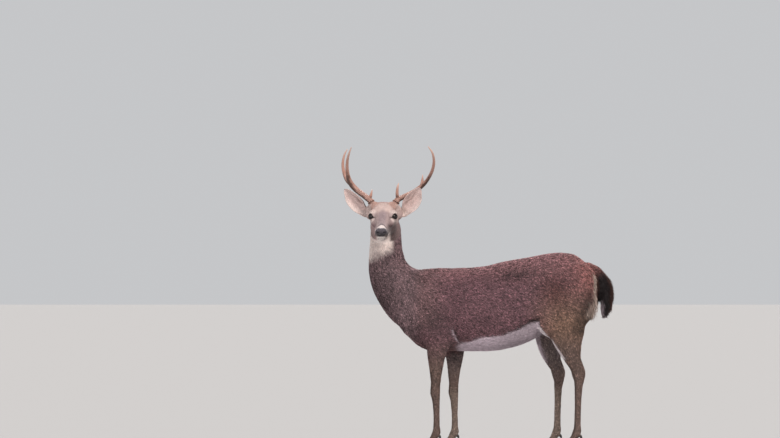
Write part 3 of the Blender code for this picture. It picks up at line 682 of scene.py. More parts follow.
PELTS = {  # a node of flesh has the first whose name is in its own
    "forearm": Pelt(0.0018, 0.015, 0.00145, 7),
    "thigh": Pelt(0.003, 0.016, 0.00175, 9),
    "gaskin": Pelt(0.0018, 0.016, 0.0015, 8),
    "cannon": Pelt(0.001, 0.01, 0.00115, 6),
    "pastern": Pelt(0.0009, 0.0095, 0.0011, 8),
    "neck": Pelt(0.003, 0.018, 0.00155, 8),
    "trunk": Pelt(0.003, 0.016, 0.0018, 9),
    "tail": Pelt(0.007, 0.052, 0.0021, 12),
    "head": Pelt(0.0013, 0.0078, 0.00085, 6),
    "ear": Pelt(0.0008, 0.0085, 0.00075, 5),
}


@dataclass
class Anatomy:
    """Where each point of the skin is on the buck: its nearest node, and its place in each frame."""

    frame: HeadFrame
    nodes: dict[str, Object]
    neck_line: tuple = (  # height, then X and Y, of the middle of the neck
        (0.69, -0.22, 0.0),
        (0.828, -0.385, 0.0),
        (0.955, -0.442, -0.006),
        (1.088, -0.448, -0.026),
        (1.145, -0.45, -0.046),
    )
    parts: list[str] = field(default_factory=list)
    tree: BVHTree | None = None
    owners: list[int] = field(default_factory=list)

    def __post_init__(self) -> None:
        """Builds one search tree over all the nodes of flesh."""
        points, faces = [], []
        for index, (name, node) in enumerate(self.nodes.items()):
            self.parts.append(name)
            base = len(points)
            points += [vertex.co for vertex in node.data.vertices]
            faces += [[base + corner for corner in face.vertices] for face in node.data.polygons]
            self.owners += [index] * len(node.data.polygons)
        self.tree = BVHTree.FromPolygons(points, faces)

    def nearest(self, points: Array) -> Array:
        """The index in parts of the node nearest to each point."""
        find = self.tree.find_nearest
        return np.array([self.owners[find(point)[2]] for point in points.tolist()])

    def mask(self, owner: Array, *words: str) -> Array:
        """True where the nearest node's name holds one of the words."""
        fits = np.array([any(word in part for word in words) for part in self.parts])
        return fits[owner]

    def drawn(self, points: Array) -> Array:
        """Points in the frame in which the buck was drawn, before it was centred."""
        return points - self.frame.shift()

    def lie(self, points: Array, normals: Array, owner: Array) -> Array:
        """The way the hair points, before it is evened out and laid on the skin."""
        x, y, z = self.drawn(points).T
        head = self.frame.read(points)
        flow = np.zeros_like(points)
        trunk = self.mask(owner, "trunk")
        steep = 0.5 * (1 - ease(np.abs(normals[:, 2]), 0.35, 0.95))
        front, rear = ease(x, -0.24, -0.34), ease(x, 0.44, 0.58)
        run = np.stack([1 - 0.8 * front - 0.6 * rear, 0 * x, -steep - 0.9 * front - 0.8 * rear], 1)
        flow[trunk] = run[trunk]
        line = np.array(self.neck_line)
        back, aside = (np.interp(z, line[:, 0], np.gradient(line[:, k], line[:, 0])) for k in (1, 2))
        down = np.stack([-back + 0.15, -aside, -np.ones_like(z)], 1)
        neck = self.mask(owner, "neck")
        flow[neck] = down[neck]
        for words, way in (
            (("thigh",), (0.35, 0, -0.95)),
            (("gaskin", "forearm"), (0.15, 0, -1)),
            (("cannon",), (0.06, 0, -1)),
            (("pastern",), (-0.25, 0, -1)),
        ):
            flow[self.mask(owner, *words)] = way
        tail = self.mask(owner, "tail")
        spread = np.stack([0.3 + 0.2 * ease(z, 0.8, 0.9), y * 9, -np.ones_like(z)], 1)
        flow[tail] = spread[tail]
        face = self.mask(owner, "head")
        low = ease(head[:, 2], -0.02, -0.07)
        crown = ease(head[:, 2], 0.02, 0.05)
        behind = ease(head[:, 0], -0.05, -0.12) * (1 - crown)
        rise = 0.25 * crown - 0.35 * low - 1.2 * behind
        back = self.frame.aimed(np.stack([0.7 * behind - 1, head[:, 1] * 3.0 * crown, rise], 1))
        flow[face] = back[face]
        for side in Side:
            ear = self.mask(owner, f"{side.value}_ear")
            flow[ear] = Ear(self.frame, side).along
        return unit(flow)

    @staticmethod
    def nape(head: Array) -> Array:
        """1 at the back of the head below the crown and 0 on the face, in the head's frame."""
        return ease(head[:, 0], -0.055, -0.15) * ease(head[:, 2], 0.05, -0.02)

    def pelts(self, surface: Surface, owner: Array) -> Array:
        """Depth, length, width and lift of the hair at each point, with smooth borders."""
        pelts = [next(PELTS[word] for word in PELTS if word in part) for part in self.parts]
        rows = np.array([pelt.row() for pelt in pelts])
        x, _, z = self.drawn(surface.points).T
        head = self.frame.read(surface.points)
        nape = self.nape(head) * self.mask(owner, "head")
        values = rows[owner] + (np.array(PELTS["neck"].row()) - rows[owner]) * nape[:, None]
        values = surface.softened(values, 30)
        face = ease(head[:, 0], -0.05, 0.05) * self.mask(owner, "head")
        muzzle = ease(head[:, 0], 0.09, 0.15) * self.mask(owner, "head")
        values[:, 1] *= 1 - 0.3 * face - 0.25 * muzzle
        values[:, 0] *= 1 - 0.25 * face - 0.25 * muzzle
        seat = ease(surface.normals[:, 0], 0.4, 0.7) * ease(x, 0.5, 0.54) * ease(z, 0.66, 0.685)
        seat *= ease(z, 0.8, 0.73) * self.mask(owner, "trunk", "thigh")
        values[:, 1] *= 1 + 2.3 * seat
        values[:, 3] *= 1 + 2.6 * seat
        values[:, 1] *= 1 - 0.45 * ease(z, 0.74, 0.66) * self.mask(owner, "tail")
        for side in Side:
            ear = self.mask(owner, f"{side.value}_ear")
            along = Ear(self.frame, side).read(surface.points)[0]
            values[:, 1] *= 1 - 0.45 * ease(along, 0.135, 0.16) * ear
        belly = ease(z, 0.58, 0.52) * self.mask(owner, "trunk")
        values[:, 1] *= 1 + 0.3 * belly
        return values


class Paint:
    """The colours of some points of the coat, laid on one after another."""

    def __init__(self, colour: Sequence[float], points: Array) -> None:
        """Starts with one colour all over."""
        self.colours = np.tile(np.array(colour), (len(points), 1))

    def over(self, colour: Sequence[float] | Array, share: Array) -> None:
        """Lays another colour on, by its share at each point."""
        self.colours = towards(self.colours, colour, share)

    def shade(self, share: Array) -> None:
        """Makes the colours lighter by a share, or darker where it is less than nothing."""
        self.colours *= (1 + share)[:, None]


@dataclass(frozen=True)
class Markings:
    """The colours of the coat, by place: its markings, and painted light and shade in a few spots."""

    anatomy: Anatomy
    back: Colour = (0.245, 0.122, 0.13)
    flank: Colour = (0.172, 0.083, 0.096)
    rump: Colour = (0.285, 0.122, 0.112)
    shoulder: Colour = (0.19, 0.104, 0.108)
    leg: Colour = (0.16, 0.102, 0.084)
    inner_leg: Colour = (0.2, 0.155, 0.15)
    thigh: Colour = (0.245, 0.142, 0.1)
    neck: Colour = (0.195, 0.122, 0.13)
    throat: Colour = (0.88, 0.75, 0.7)
    white: Colour = (0.66, 0.54, 0.6)
    seat: Colour = (0.41, 0.31, 0.265)
    black: Colour = (0.016, 0.009, 0.01)
    crown: Colour = (0.385, 0.24, 0.2)
    brow: Colour = (0.47, 0.34, 0.305)
    face: Colour = (0.36, 0.26, 0.25)
    bridge: Colour = (0.26, 0.19, 0.195)
    cheek: Colour = (0.36, 0.26, 0.245)
    ear_inner: Colour = (0.72, 0.55, 0.515)
    ear_back: Colour = (0.19, 0.12, 0.11)
    rim: Colour = (0.012, 0.008, 0.008)
    belly_edge: tuple = (  # X, then height, of the upper edge of the white belly
        (-0.3, -0.08, 0.013, 0.11, 0.192, 0.267, 0.295, 0.31),
        (0.5, 0.53, 0.56, 0.567, 0.598, 0.635, 0.642, 0.56),
    )
    left_thigh_edge: tuple = (  # height, then X, of the front edge of the thigh
        (0.45, 0.48, 0.51, 0.54, 0.57, 0.59, 0.612),
        (0.425, 0.405, 0.385, 0.364, 0.332, 0.314, 0.297),
    )
    right_thigh_edge: tuple = ((0.45, 0.48, 0.51, 0.54, 0.612), (0.326, 0.309, 0.298, 0.292, 0.288))

    def colours(self, points: Array, normals: Array, owner: Array) -> Array:
        """The colour of the coat at each point."""
        colours = self.body(points, normals, owner)
        on = self.anatomy.mask
        colours = np.where(on(owner, "tail")[:, None], self.tail(points, normals), colours)
        colours = np.where(on(owner, "head")[:, None], self.head(points, colours), colours)
        for side in Side:
            ear = on(owner, f"{side.value}_ear")
            if ear.any():
                colours[ear] = self.ear(points[ear], normals[ear], side)
        return np.clip(colours, 0.003, 0.95)

    def regions(self, owner: Array) -> tuple[Array, Array, Array]:
        """Whether each point is on the trunk, on a leg, and on the neck or the head."""
        on = self.anatomy.mask
        return on(owner, "trunk"), on(owner, "leg"), on(owner, "neck", "head")

    def body(self, points: Array, normals: Array, owner: Array) -> Array:
        """The trunk, the neck and the legs."""
        x, _, z = self.anatomy.drawn(points).T
        drift = wander(points, 0.12, 3)
        _, legs, neck = self.regions(owner)
        paint = Paint(self.flank, points)
        paint.over(self.back, ease(z + 0.02 * drift, 0.8, 0.9))
        paint.over(self.rump, ease(x + 0.03 * drift, 0.38, 0.56) * ease(z, 0.66, 0.84))
        paint.over(self.shoulder, ease(x, -0.12, -0.28) * ease(z, 0.55, 0.65))
        paint.over(self.neck, np.where(neck, 1.0, ease(x, -0.26, -0.34)))
        paint.over(self.thigh, ease(x, 0.2, 0.42) * ease(z, 0.86, 0.62))
        # painted shade in the hollow of the flank, mottled
        hollow_shade = bell(x - 1.2 * (z - 0.862), 0.185, 0.082) * bell(z, 0.864, 0.034)
        paint.shade(-0.58 * hollow_shade * (1 + 0.5 * wander(points, 0.018, 14)))
        # painted shade low on the shoulder
        paint.shade(-0.18 * bell(x, -0.13, 0.05) * bell(z, 0.64, 0.06))
        paint.shade(-0.42 * bell(x, -0.215, 0.06) * bell(z, 0.64, 0.07))
        haunch = bell(x, 0.375, 0.085) * bell(z, 0.8, 0.085)
        paint.colours *= 1 - np.array([0.3, 0.4, 0.46]) * haunch[:, None]
        # painted light down the back of the neck, on its lit side
        paint.shade(0.4 * neck * ease(x, -0.45, -0.38))
        paint.shade(-(0.1 + 0.22 * ease(z, 0.93, 0.72)) * neck)
        paint.shade(0.1 * wander(points, 0.05, 4) + 0.06 * wander(points, 0.02, 5))
        forward = ease(z + 0.012 * drift, 0.6, 0.38) * ease(x, 0.0, -0.08)
        lower = np.where(legs & (x > 0.1), ease(z, 0.62, 0.48), forward)
        paint.over(self.leg, lower)
        shin = legs * (z < 0.4) * ease(-normals[:, 0], 0.1, 0.9)
        paint.over(np.array(self.leg) * 0.75, shin)
        self.pale_parts(paint, points, normals, owner)
        return paint.colours

    def pale_parts(self, paint: Paint, points: Array, normals: Array, owner: Array) -> None:
        """Paints the belly, seat, throat and insides of the legs, and painted shade in their folds."""
        x, y, z = self.anatomy.drawn(points).T
        trunk, legs, neck = self.regions(owner)
        rearwards = normals[:, 0]
        inner = -normals[:, 1] * np.sign(y)
        edge = np.interp(x, *self.belly_edge) + 0.004 * wander(points, 0.025, 6)
        aft = 0.085 * ease(y, 0.0, 0.05)  # the right foreleg stands further back
        belly = ease(z - edge, 0.005, -0.005) * ease(x - 0.8 * aft, -0.125, -0.085)
        groin = ease(x, 0.26, 0.31) * ease(np.abs(y), 0.075, 0.055) * ease(z, 0.66, 0.6)
        paint.over(self.white, trunk * np.maximum(belly, groin))
        paint.shade(-0.26 * belly * ease(x, 0.0, 0.22) * trunk)
        # painted shade in the crease above the white belly
        crease_shade = bell(z - edge, 0.008, 0.0085) * ease(x, 0.1, 0.2) * ease(x, 0.325, 0.295)
        paint.shade(-0.78 * crease_shade * trunk)
        thigh = ease(0.8 * inner - 0.6 * rearwards, 0.24, 0.42) * ease(inner, 0.95, 0.75)
        thigh *= ease(z, 0.42, 0.47) * ease(z, 0.66, 0.61)
        left, right = np.interp(z, *self.left_thigh_edge), np.interp(z, *self.right_thigh_edge)
        front = x - np.where(y < 0, left, right)
        line = ease(front, 0.0078, 0.0042) * ease(inner, 0.6, 0.3)
        line *= ease(z, 0.448, 0.47) * ease(z, 0.618, 0.604)
        line *= ease(front, -0.014, -0.008) * (legs | (trunk & (x > 0.285)))
        thigh = np.maximum(thigh * legs * ease(x, 0.24, 0.28), line)
        paint.over(self.white, thigh)
        paint.over((0.86, 0.76, 0.77), line * ease(inner, 0.3, 0.0))
        inside = ease(inner, 0.2, 0.6) * ease(z, 0.3, 0.5)
        paint.over(self.inner_leg, legs * inside * 0.7 * (1 - thigh))
        sock = legs * ease(inner, 0.1, 0.7) * ease(z, 0.34, 0.28)
        paint.over((0.27, 0.205, 0.165), sock * 0.55)
        # painted shade down the back edge of the thigh
        shade = ease(x - 0.3 * (z - 0.68), 0.452, 0.512) * ease(z, 0.55, 0.6) * ease(z, 0.84, 0.72)
        paint.shade(-0.56 * shade)
        least = np.interp(z, (0.66, 0.74, 0.79, 0.83, 0.86), (0.44, 0.62, 0.84, 0.8, 0.68))
        seat = ease(rearwards - least + 0.07 * wander(points, 0.012, 18), -0.08, 0.1)
        seat *= ease(x, 0.505, 0.53)
        seat *= ease(z + 0.008 * wander(points, 0.02, 15), 0.645, 0.672) * ease(z, 0.885, 0.86)
        paint.over(self.seat, seat)
        armpit = x - aft - np.interp(z, (0.535, 0.585), (-0.099, -0.126))
        where = ease(z, 0.528, 0.54) * ease(z, 0.612, 0.59) * ease(inner, 0.2, -0.2)
        # painted shade in the crease behind the elbow, beside a streak of white hair
        paint.shade(-0.6 * bell(armpit, 0.013, 0.009) * where)
        paint.over(self.white, 0.85 * bell(armpit, 0.0, 0.004) * where)
        around = np.stack([x + 0.446, y + 0.01], 1)
        facing = unit(around) @ unit(np.array([[-0.66, -0.75]]))[0]
        sloped = z - 0.42 * (x + 0.505)
        ragged = 0.016 * wander(points, 0.035, 13) + 0.006 * wander(points, 0.012, 17)
        throat = ease(facing + 6 * ragged, 0.22, 0.62) * ease(sloped + ragged, 0.928, 0.98)
        paint.over(self.throat, neck * throat)

    def tail(self, points: Array, normals: Array) -> Array:
        """The tail: brown at the root, black below, white beneath, and rusty down its back."""
        z = self.anatomy.drawn(points)[:, 2]
        paint = Paint(np.array(self.rump) * 0.75, points)
        paint.over(self.black, ease(z + 0.015 * wander(points, 0.02, 7), 0.925, 0.855))
        paint.over((0.11, 0.045, 0.032), ease(normals[:, 0], 0.55, 0.9) * 0.6)
        beneath = ease(normals[:, 0], -0.72, -0.93)
        paint.over(self.white, beneath * ease(z, 0.92, 0.88) * ease(z, 0.66, 0.7))
        return paint.colours

    @staticmethod
    def lips(ahead: Array) -> Array:
        """The height at which the lips meet, at each place along the muzzle."""
        return -0.0875 - 0.1 * (0.19 - ahead) + 0.9 * np.maximum(ahead - 0.175, 0)

    def head(self, points: Array, body: Array) -> Array:
        """The face: pale brow, white rings, a grey bridge, and a white muzzle and chin."""
        x, y, z = self.anatomy.frame.read(points).T
        aside = np.abs(y)
        drift = wander(points, 0.02, 8)
        face = Paint(self.face, points)
        face.over(self.cheek, ease(aside, 0.03, 0.05) * ease(x, 0.08, 0.02))
        top = ease(z + 0.006 * drift, 0.012, 0.034)
        face.over(self.brow, top)
        face.over(self.crown, ease(z + 0.008 * drift, 0.05, 0.066) * ease(aside, 0.075, 0.055))
        stump = np.sqrt((x + 0.052) ** 2 + (aside - 0.046) ** 2 + (z - 0.04) ** 2)
        face.over((0.4, 0.215, 0.17), ease(stump + 0.005 * drift, 0.038, 0.022) * 0.62)
        strands = wander(points * np.array([2.2, 2.2, 0.7]), 0.006, 16)
        face.shade(-0.26 * ease(strands, 0.05, 0.6) * ease(z, 0.04, 0.052))
        bridge = ease(x, 0.02, 0.05) * ease(x, 0.165, 0.135) * ease(aside, 0.026, 0.01)
        face.over(self.bridge, bridge * 0.8)
        blaze = bell(x, 0.045, 0.03) * bell(aside, 0.0, 0.012) * ease(z, -0.03, 0.0)
        face.over(self.bridge, blaze * 0.6)
        gap = np.sqrt(((x - 0.02) / 1.15) ** 2 + (aside - 0.056) ** 2 + (z * 1.05) ** 2)
        ring = ease(gap, 0.032, 0.024)
        ring *= 0.28 + 0.1 * ease(z, 0.0, -0.012)
        face.over((0.66, 0.54, 0.5), ring)
        ridge = bell(z, 0.023 - 0.1 * (aside - 0.05), 0.005) * ease(aside, 0.026, 0.038)
        ridge *= ease(x, -0.02, 0.0)
        face.over((0.66, 0.54, 0.49), ridge * 0.62)
        reach = np.clip((0.046 - aside) / 0.018, 0, 1)
        tear = bell(z, -0.0006 - 0.002 * reach, 0.0046 - 0.0016 * reach)
        tear *= ease(aside, 0.024, 0.032) * ease(x, 0.012, 0.024) * ease(x, 0.054, 0.043)
        face.over((0.06, 0.028, 0.026), tear * 0.84)
        streak = bell(z + 0.0125, -0.9 * (aside - 0.045), 0.005) * ease(aside, 0.036, 0.042)
        streak *= ease(z, -0.04, -0.03) * ease(x, -0.04, -0.01)
        face.over((0.66, 0.53, 0.49), streak * 0.85)
        smudge = bell(x, 0.072, 0.032) * bell(z, -0.039, 0.015) * ease(aside, 0.018, 0.03)
        face.over((0.112, 0.06, 0.064), smudge * 0.9)
        temple = ease(aside, 0.05, 0.064) * ease(x, -0.03, -0.055)
        temple *= ease(z, 0.062, 0.045) * ease(z, -0.055, -0.03)
        face.over((0.58, 0.455, 0.415), temple * 0.85)
        band = x - 1.3 * (np.hypot(aside, 0.01) - 0.01)
        upper = ease(z, -0.06, -0.046)
        face.over((0.17, 0.126, 0.12), ease(x, 0.135, 0.155))
        face.over((0.062, 0.042, 0.048), bell(band, 0.1245, 0.0065) * 0.9 * upper)
        face.over((0.58, 0.49, 0.46), ease(band, 0.13, 0.136) * ease(z, -0.062, -0.044))
        lip = ease(z, -0.073, -0.078) * ease(aside, 0.026, 0.018) * ease(x, 0.15, 0.16)
        face.over((0.7, 0.62, 0.59), lip)
        beside = bell(aside, 0.031, 0.006) * bell(z, -0.062, 0.012) * ease(x, 0.16, 0.17)
        face.over((0.05, 0.035, 0.04), beside * 0.9)
        spot = bell(x, 0.15, 0.01) * bell(z, -0.094, 0.006)
        chin = ease(z + 0.2 * (x - 0.15), -0.088, -0.094) * ease(x, -0.02, 0.04)
        middle = ease(aside, 0.04, 0.026)
        # painted shade under the jaw
        jaw = ease(z + 0.25 * x, -0.04, -0.06) * ease(x, 0.15, 0.11)
        face.over((0.215, 0.143, 0.138), jaw)
        # painted light low on the right cheek and painted shade low on the left one
        cheeks_light_and_shade = ease(x, -0.05, -0.01) * ease(z, -0.02, -0.048)
        face.shade(cheeks_light_and_shade * (0.65 * ease(y, -0.012, -0.034) - 0.55 * ease(y, 0.012, 0.034)))
        face.over((0.8, 0.7, 0.66), chin * middle)
        face.over((0.05, 0.035, 0.035), spot * ease(aside, 0.012, 0.02) * 0.6)
        under = ease(z + 0.08 * (x + 0.05), -0.078, -0.092)
        face.over((0.7, 0.59, 0.55), under * ease(x, -0.1, -0.05) * middle)
        mouth = bell(z, self.lips(x), 0.0016) * ease(x, 0.1, 0.125)
        face.over((0.04, 0.028, 0.028), mouth * ease(x, 0.174, 0.168) * 0.8)
        nape = ease(x, -0.05, -0.11)
        face.over(self.back, nape * ease(z, -0.06, -0.03) * 0.8)
        face.shade(0.08 * wander(points, 0.012, 9) + 0.06 * wander(points, 0.005, 10))
        below_nape = ease(z, -0.02, -0.066) * ease(x, -0.05, -0.088)
        seam = np.maximum(ease(x, -0.09, -0.14), below_nape)[:, None]
        return face.colours * (1 - seam) + body * seam

    def ear(self, points: Array, normals: Array, side: Side) -> Array:
        """An ear: pale and streaked within, grey-brown behind, with a dark rim near the tip."""
        ear = Ear(self.anatomy.frame, side)
        along, across = ear.read(points)
        inside = ease(normals @ ear.opening, -0.05, 0.25)
        streaks = 0.5 + 0.5 * np.sin(across * 260 + 4 * wander(points, 0.03, 12))
        pale = Paint(self.ear_inner, points)
        streaks *= bell(along, 0.075, 0.055) * bell(across, 0.002, 0.022) * 0.8
        pale.over((0.3, 0.19, 0.17), streaks)
        paint = Paint(self.ear_back, points)
        paint.over(pale.colours, inside)
        fluff = ease(along, 0.034, 0.012) * ease(normals @ ear.opening, -0.1, 0.4)
        paint.over((0.58, 0.455, 0.415), fluff * 0.85)
        edge = ease(np.abs(across) / ear.half_width(along), 0.8, 0.98)
        paint.over((0.7, 0.58, 0.54), edge * (0.35 + 0.45 * inside))
        paint.over((0.1, 0.065, 0.06), ease(along, 0.152, 0.166) * (1 - inside))
        return paint.colours


# The ears ----------------------------------------


@dataclass
class Ear:
    """One leaf-shaped ear: a tube at its root that opens forwards and ends in a blunt point."""

    frame: HeadFrame
    side: Side
    root: Vector = field(default_factory=lambda: Vector((-0.09, 0.081, 0.0)))
    tip: Vector = field(default_factory=lambda: Vector((-0.066, 0.182, 0.131)))
    facing: Vector = field(default_factory=lambda: Vector((0.95, 0.22, 0.0)))
    thickness: float = 0.0024
    inset: float = 0.0009  # from the solid's outer face to the skin's
    gristle: tuple = (
        ((-0.094, 0.068, -0.004), (0.026, 0.024, 0.028)),
        ((-0.09, 0.066, 0.022), (0.022, 0.019, 0.022)),
    )
    pedicle: tuple = (
        ((-0.054, 0.042, 0.04), 0.02),
        ((-0.058, 0.053, 0.053), 0.0155),
        ((-0.059, 0.06, 0.047), 0.0145),
    )
    sections: tuple = (  # along the ear, shift to the crown, half width, half angle of the curl
        (-0.016, -0.005, 0.012, 150), (0.0, -0.011, 0.021, 130), (0.032, -0.012, 0.029, 100),
        (0.06, -0.009, 0.0405, 76), (0.09, -0.008, 0.042, 62), (0.12, -0.006, 0.0355, 54),
        (0.143, -0.001, 0.0235, 46), (0.156, 0.001, 0.015, 42), (0.164, 0.001, 0.006, 40),
    )

    def __post_init__(self) -> None:
        """Works out the ear's own axes in the head's frame, and its place on the buck."""
        self.up = (self.tip - self.root).normalized()
        self.out = (self.facing - self.up * self.facing.dot(self.up)).normalized()
        crown = Vector((0, 0, 1)) - self.up * self.up.z
        self.crown = (crown - self.out * self.out.dot(crown)).normalized()
        droop, swing = (0, 0) if self.side is Side.LEFT else (radians(6), radians(21))
        turn = Matrix.Rotation(swing, 4, "Z") @ Matrix.Rotation(-droop, 4, "X")
        settle = Matrix.Translation(self.root) @ turn @ Matrix.Translation(-self.root)
        self.matrix = self.frame.matrix @ Matrix.Diagonal((1, self.side.head_sign, 1, 1)) @ settle

    def way(self, direction: Vector) -> Array:
        """A direction of the head's frame in the buck's, as the ear stands."""
        return np.array((self.matrix.to_3x3() @ direction).normalized())

    @property
    def along(self) -> Array:
        """The way from root to tip on the buck."""
        return self.way(self.up)

    @property
    def opening(self) -> Array:
        """The way the ear faces on the buck."""
        return self.way(self.out)

    def read(self, points: Array) -> tuple[Array, Array]:
        """How far along the ear, and how far across it towards the crown, each point lies."""
        offset = points - np.array(self.matrix @ self.root)
        return offset @ self.along, offset @ self.way(self.crown)

    def half_width(self, along: Array) -> Array:
        """Half the ear's width at each distance along it."""
        rows = np.array(self.sections)
        return np.maximum(np.interp(along, rows[:, 0], rows[:, 2]), 0.003)

    def row(self, along: float) -> Array:
        """Shift, half width and curl at one distance along the ear, on a smooth curve."""
        rows = np.array(self.sections)
        index = int(np.clip(np.searchsorted(rows[:, 0], along) - 1, 0, len(rows) - 2))
        share = (along - rows[index, 0]) / (rows[index + 1, 0] - rows[index, 0])
        return along_curve(rows[:, 1:], index, share)

    def base(self, shape: Shape) -> None:
        """Adds to a shape the gristle that carries the ear, and the stump that carries the antler."""
        for place, halves in self.gristle:
            settled = self.matrix @ Matrix.Translation(place) @ Matrix.Diagonal((*halves, 1))
            bmesh.ops.create_uvsphere(shape, u_segments=28, v_segments=16, radius=1, matrix=settled)
        for place, radius in self.pedicle:
            settled = self.frame.matrix @ Matrix.Translation(self.side.mirrored(place))
            bmesh.ops.create_uvsphere(shape, u_segments=24, v_segments=14, radius=radius, matrix=settled)

    def build(self) -> Object:
        """A curled sheet with a wall, cut from a grid."""
        shape = bmesh.new()
        bmesh.ops.create_grid(shape, x_segments=44, y_segments=64, size=1)
        first, last = self.sections[0][0], self.sections[-1][0]
        for vertex in shape.verts:
            across, share = vertex.co.x, (vertex.co.y + 1) / 2
            along = first + (last - first) * share
            shift, half, curl = self.row(along)
            curl = radians(curl)
            radius = half / sin(min(curl, pi / 2)) - self.inset
            turn = across * curl
            ripple = 0.0011 * sin(across * 9.0) * exp(-(((share - 0.48) / 0.24) ** 2))
            ripple *= cos(across * pi / 2) ** 0.5 if abs(across) < 1 else 0
            reach = radius + ripple
            vertex.co = (
                self.root
                + self.up * (along - 0.0006)
                + self.crown * (shift + reach * sin(turn))
                + self.out * ((radius + self.inset) * cos(curl) - reach * cos(turn))
            )
        bmesh.ops.recalc_face_normals(shape, faces=shape.faces)
        cup = self.root + self.up * 0.09
        middle = min(shape.faces, key=lambda face: (face.calc_center_median() - cup).length)
        if middle.normal.dot(self.out) > 0:  # the wall grows into the cup
            bmesh.ops.reverse_faces(shape, faces=shape.faces)
        bmesh.ops.solidify(shape, geom=shape.faces[:], thickness=self.thickness)
        bmesh.ops.triangulate(shape, faces=shape.faces)
        shape.transform(self.matrix)
        return piece_of(f"{self.side.value}_ear_shell", shape)


# The eyes ----------------------------------------


@dataclass
class Eye:
    """One eye between its lids."""

    frame: HeadFrame
    side: Side
    radius: float = 0.0185
    slit: tuple = (0.017, 0.0112)  # half width and half height of the opening
    tilt: float = radians(1)  # how far the front corner is lower than the back one
    aim: Vector = field(default_factory=lambda: Vector((0.77, 0.63, 0.02)).normalized())

    def __post_init__(self) -> None:
        """Works out where the eye is and which way it looks on the buck."""
        low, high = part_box(f"{self.side.value}_eye")
        self.centre = (low + high) / 2
        self.gaze = self.frame.axes @ self.side.mirrored(self.aim)
        ahead = self.frame.axes @ Vector((cos(self.tilt), 0, -sin(self.tilt)))
        self.front = (ahead - self.gaze * ahead.dot(self.gaze)).normalized()
        self.top = self.gaze.cross(self.front)
        if self.top.z < 0:
            self.top = -self.top

    def read(self, points: Array) -> tuple[Array, Array, Array, Array]:
        """Each point's place by the eye.

        Returns:
            How far forwards and how far up it lies on the ball, in metres, its distance from
            the centre, and the cosine of its angle from the gaze.
        """
        offset = points - np.array(self.centre)
        distance = np.linalg.norm(offset, axis=1)
        way = unit(offset)
        facing = way @ np.array(self.gaze)
        across = np.arctan2(way @ np.array(self.front), facing) * self.radius
        above = np.arctan2(way @ np.array(self.top), facing) * self.radius
        return across, above, distance, facing

    def edge(self, across: Array, above: Array) -> Array:
        """How far the opening reaches up or down: the upper lid stays level towards the nose."""
        half, high = self.slit
        share = np.clip(np.abs(across) / half, 0, 1)
        power = np.where((above > 0) & (across > 0), 4.2, 2.2)
        return high * (1 - share**power) * np.where(above > 0, 1.0, 0.86)

    def outside(self, points: Array) -> Array:
        """How far each point lies outside the opening, in metres along the ball."""
        across, above, _, facing = self.read(points)
        half = self.slit[0]
        edge = self.edge(across, above)
        past = np.abs(across) - half
        gap = np.where(past < 0, np.abs(above) - edge, np.hypot(past, above))
        return np.where(facing > 0.1, gap, 0.05)

    def lids(self, shape: Shape) -> None:
        """Adds the mass of the lids to a shape, as a ball that fills the socket."""
        place, radius = Matrix.Translation(self.centre), self.radius + 0.004
        bmesh.ops.create_uvsphere(shape, u_segments=40, v_segments=24, radius=radius, matrix=place)

    def opened(self, skin: Object) -> None:
        """Cuts the socket and the opening between the lids into the skin."""
        socket = bmesh.new()
        place = Matrix.Translation(self.centre)
        bmesh.ops.create_icosphere(socket, subdivisions=5, radius=self.radius + 0.0002, matrix=place)
        combined(skin, piece_of("socket", socket), "DIFFERENCE")
        slit = bmesh.new()
        bmesh.ops.create_circle(slit, cap_ends=True, segments=72, radius=1)
        for vertex in slit.verts:
            angle = atan2(vertex.co.y, vertex.co.x)
            across = cos(angle) * self.slit[0]
            above = copysign(float(self.edge(across, sin(angle))), sin(angle))
            turn, rise = across / self.radius, above / self.radius
            level = self.gaze * cos(turn) + self.front * sin(turn)
            way = level * cos(rise) + self.top * sin(rise)
            vertex.co = self.centre + way * (self.radius - 0.002)
        grown = bmesh.ops.extrude_face_region(slit, geom=slit.faces[:])
        for vertex in (part for part in grown["geom"] if isinstance(part, bmesh.types.BMVert)):
            vertex.co += (vertex.co - self.centre).normalized() * 0.012
        bmesh.ops.triangulate(slit, faces=slit.faces)
        combined(skin, piece_of("slit", slit), "DIFFERENCE")

    def build(self, finish: Finish) -> Object:
        """The eyeball, with a cornea that bulges, and its markings stored as angles."""
        shape = bmesh.new()
        bmesh.ops.create_uvsphere(shape, u_segments=56, v_segments=36, radius=self.radius)
        turn = self.gaze.to_track_quat("Z", "Y").to_matrix().to_4x4()
        for vertex in shape.verts:
            angle = vertex.co.angle(Vector((0, 0, 1)))
            vertex.co *= 1 + 0.05 * exp(-((angle / 0.5) ** 2)) - 0.006
        shape.transform(Matrix.Translation(self.centre) @ turn)
        obj = piece_of(f"{self.side.value}_eyeball", shape)
        surface = Surface(obj.data)
        across, above, _, facing = self.read(surface.points)
        surface.keep("aside", np.arccos(np.clip(facing, -1, 1)))
        surface.keep("pupil", np.hypot(across / 0.0068, above / 0.0042))
        dress(obj, finish)
        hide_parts(f"{self.side.value}_eye")
        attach(obj, BODY)
        return obj


# The skin ----------------------------------------


@dataclass(frozen=True)
class Swell:
    """A rise or a hollow in the skin: its place, its reach along each axis and its height, in mm."""

    place: Triple
    reach: Triple
    rise: float

    def on(self, points: Array) -> Array:
        """How far each point rises; the place is mirrored to both sides."""
        offset = 1000 * points
        offset[:, 1] = np.abs(offset[:, 1])
        offset = (offset - np.array(self.place)) / np.array(self.reach)
        return self.rise / 1000 * np.exp(-np.sum(offset * offset, axis=1))


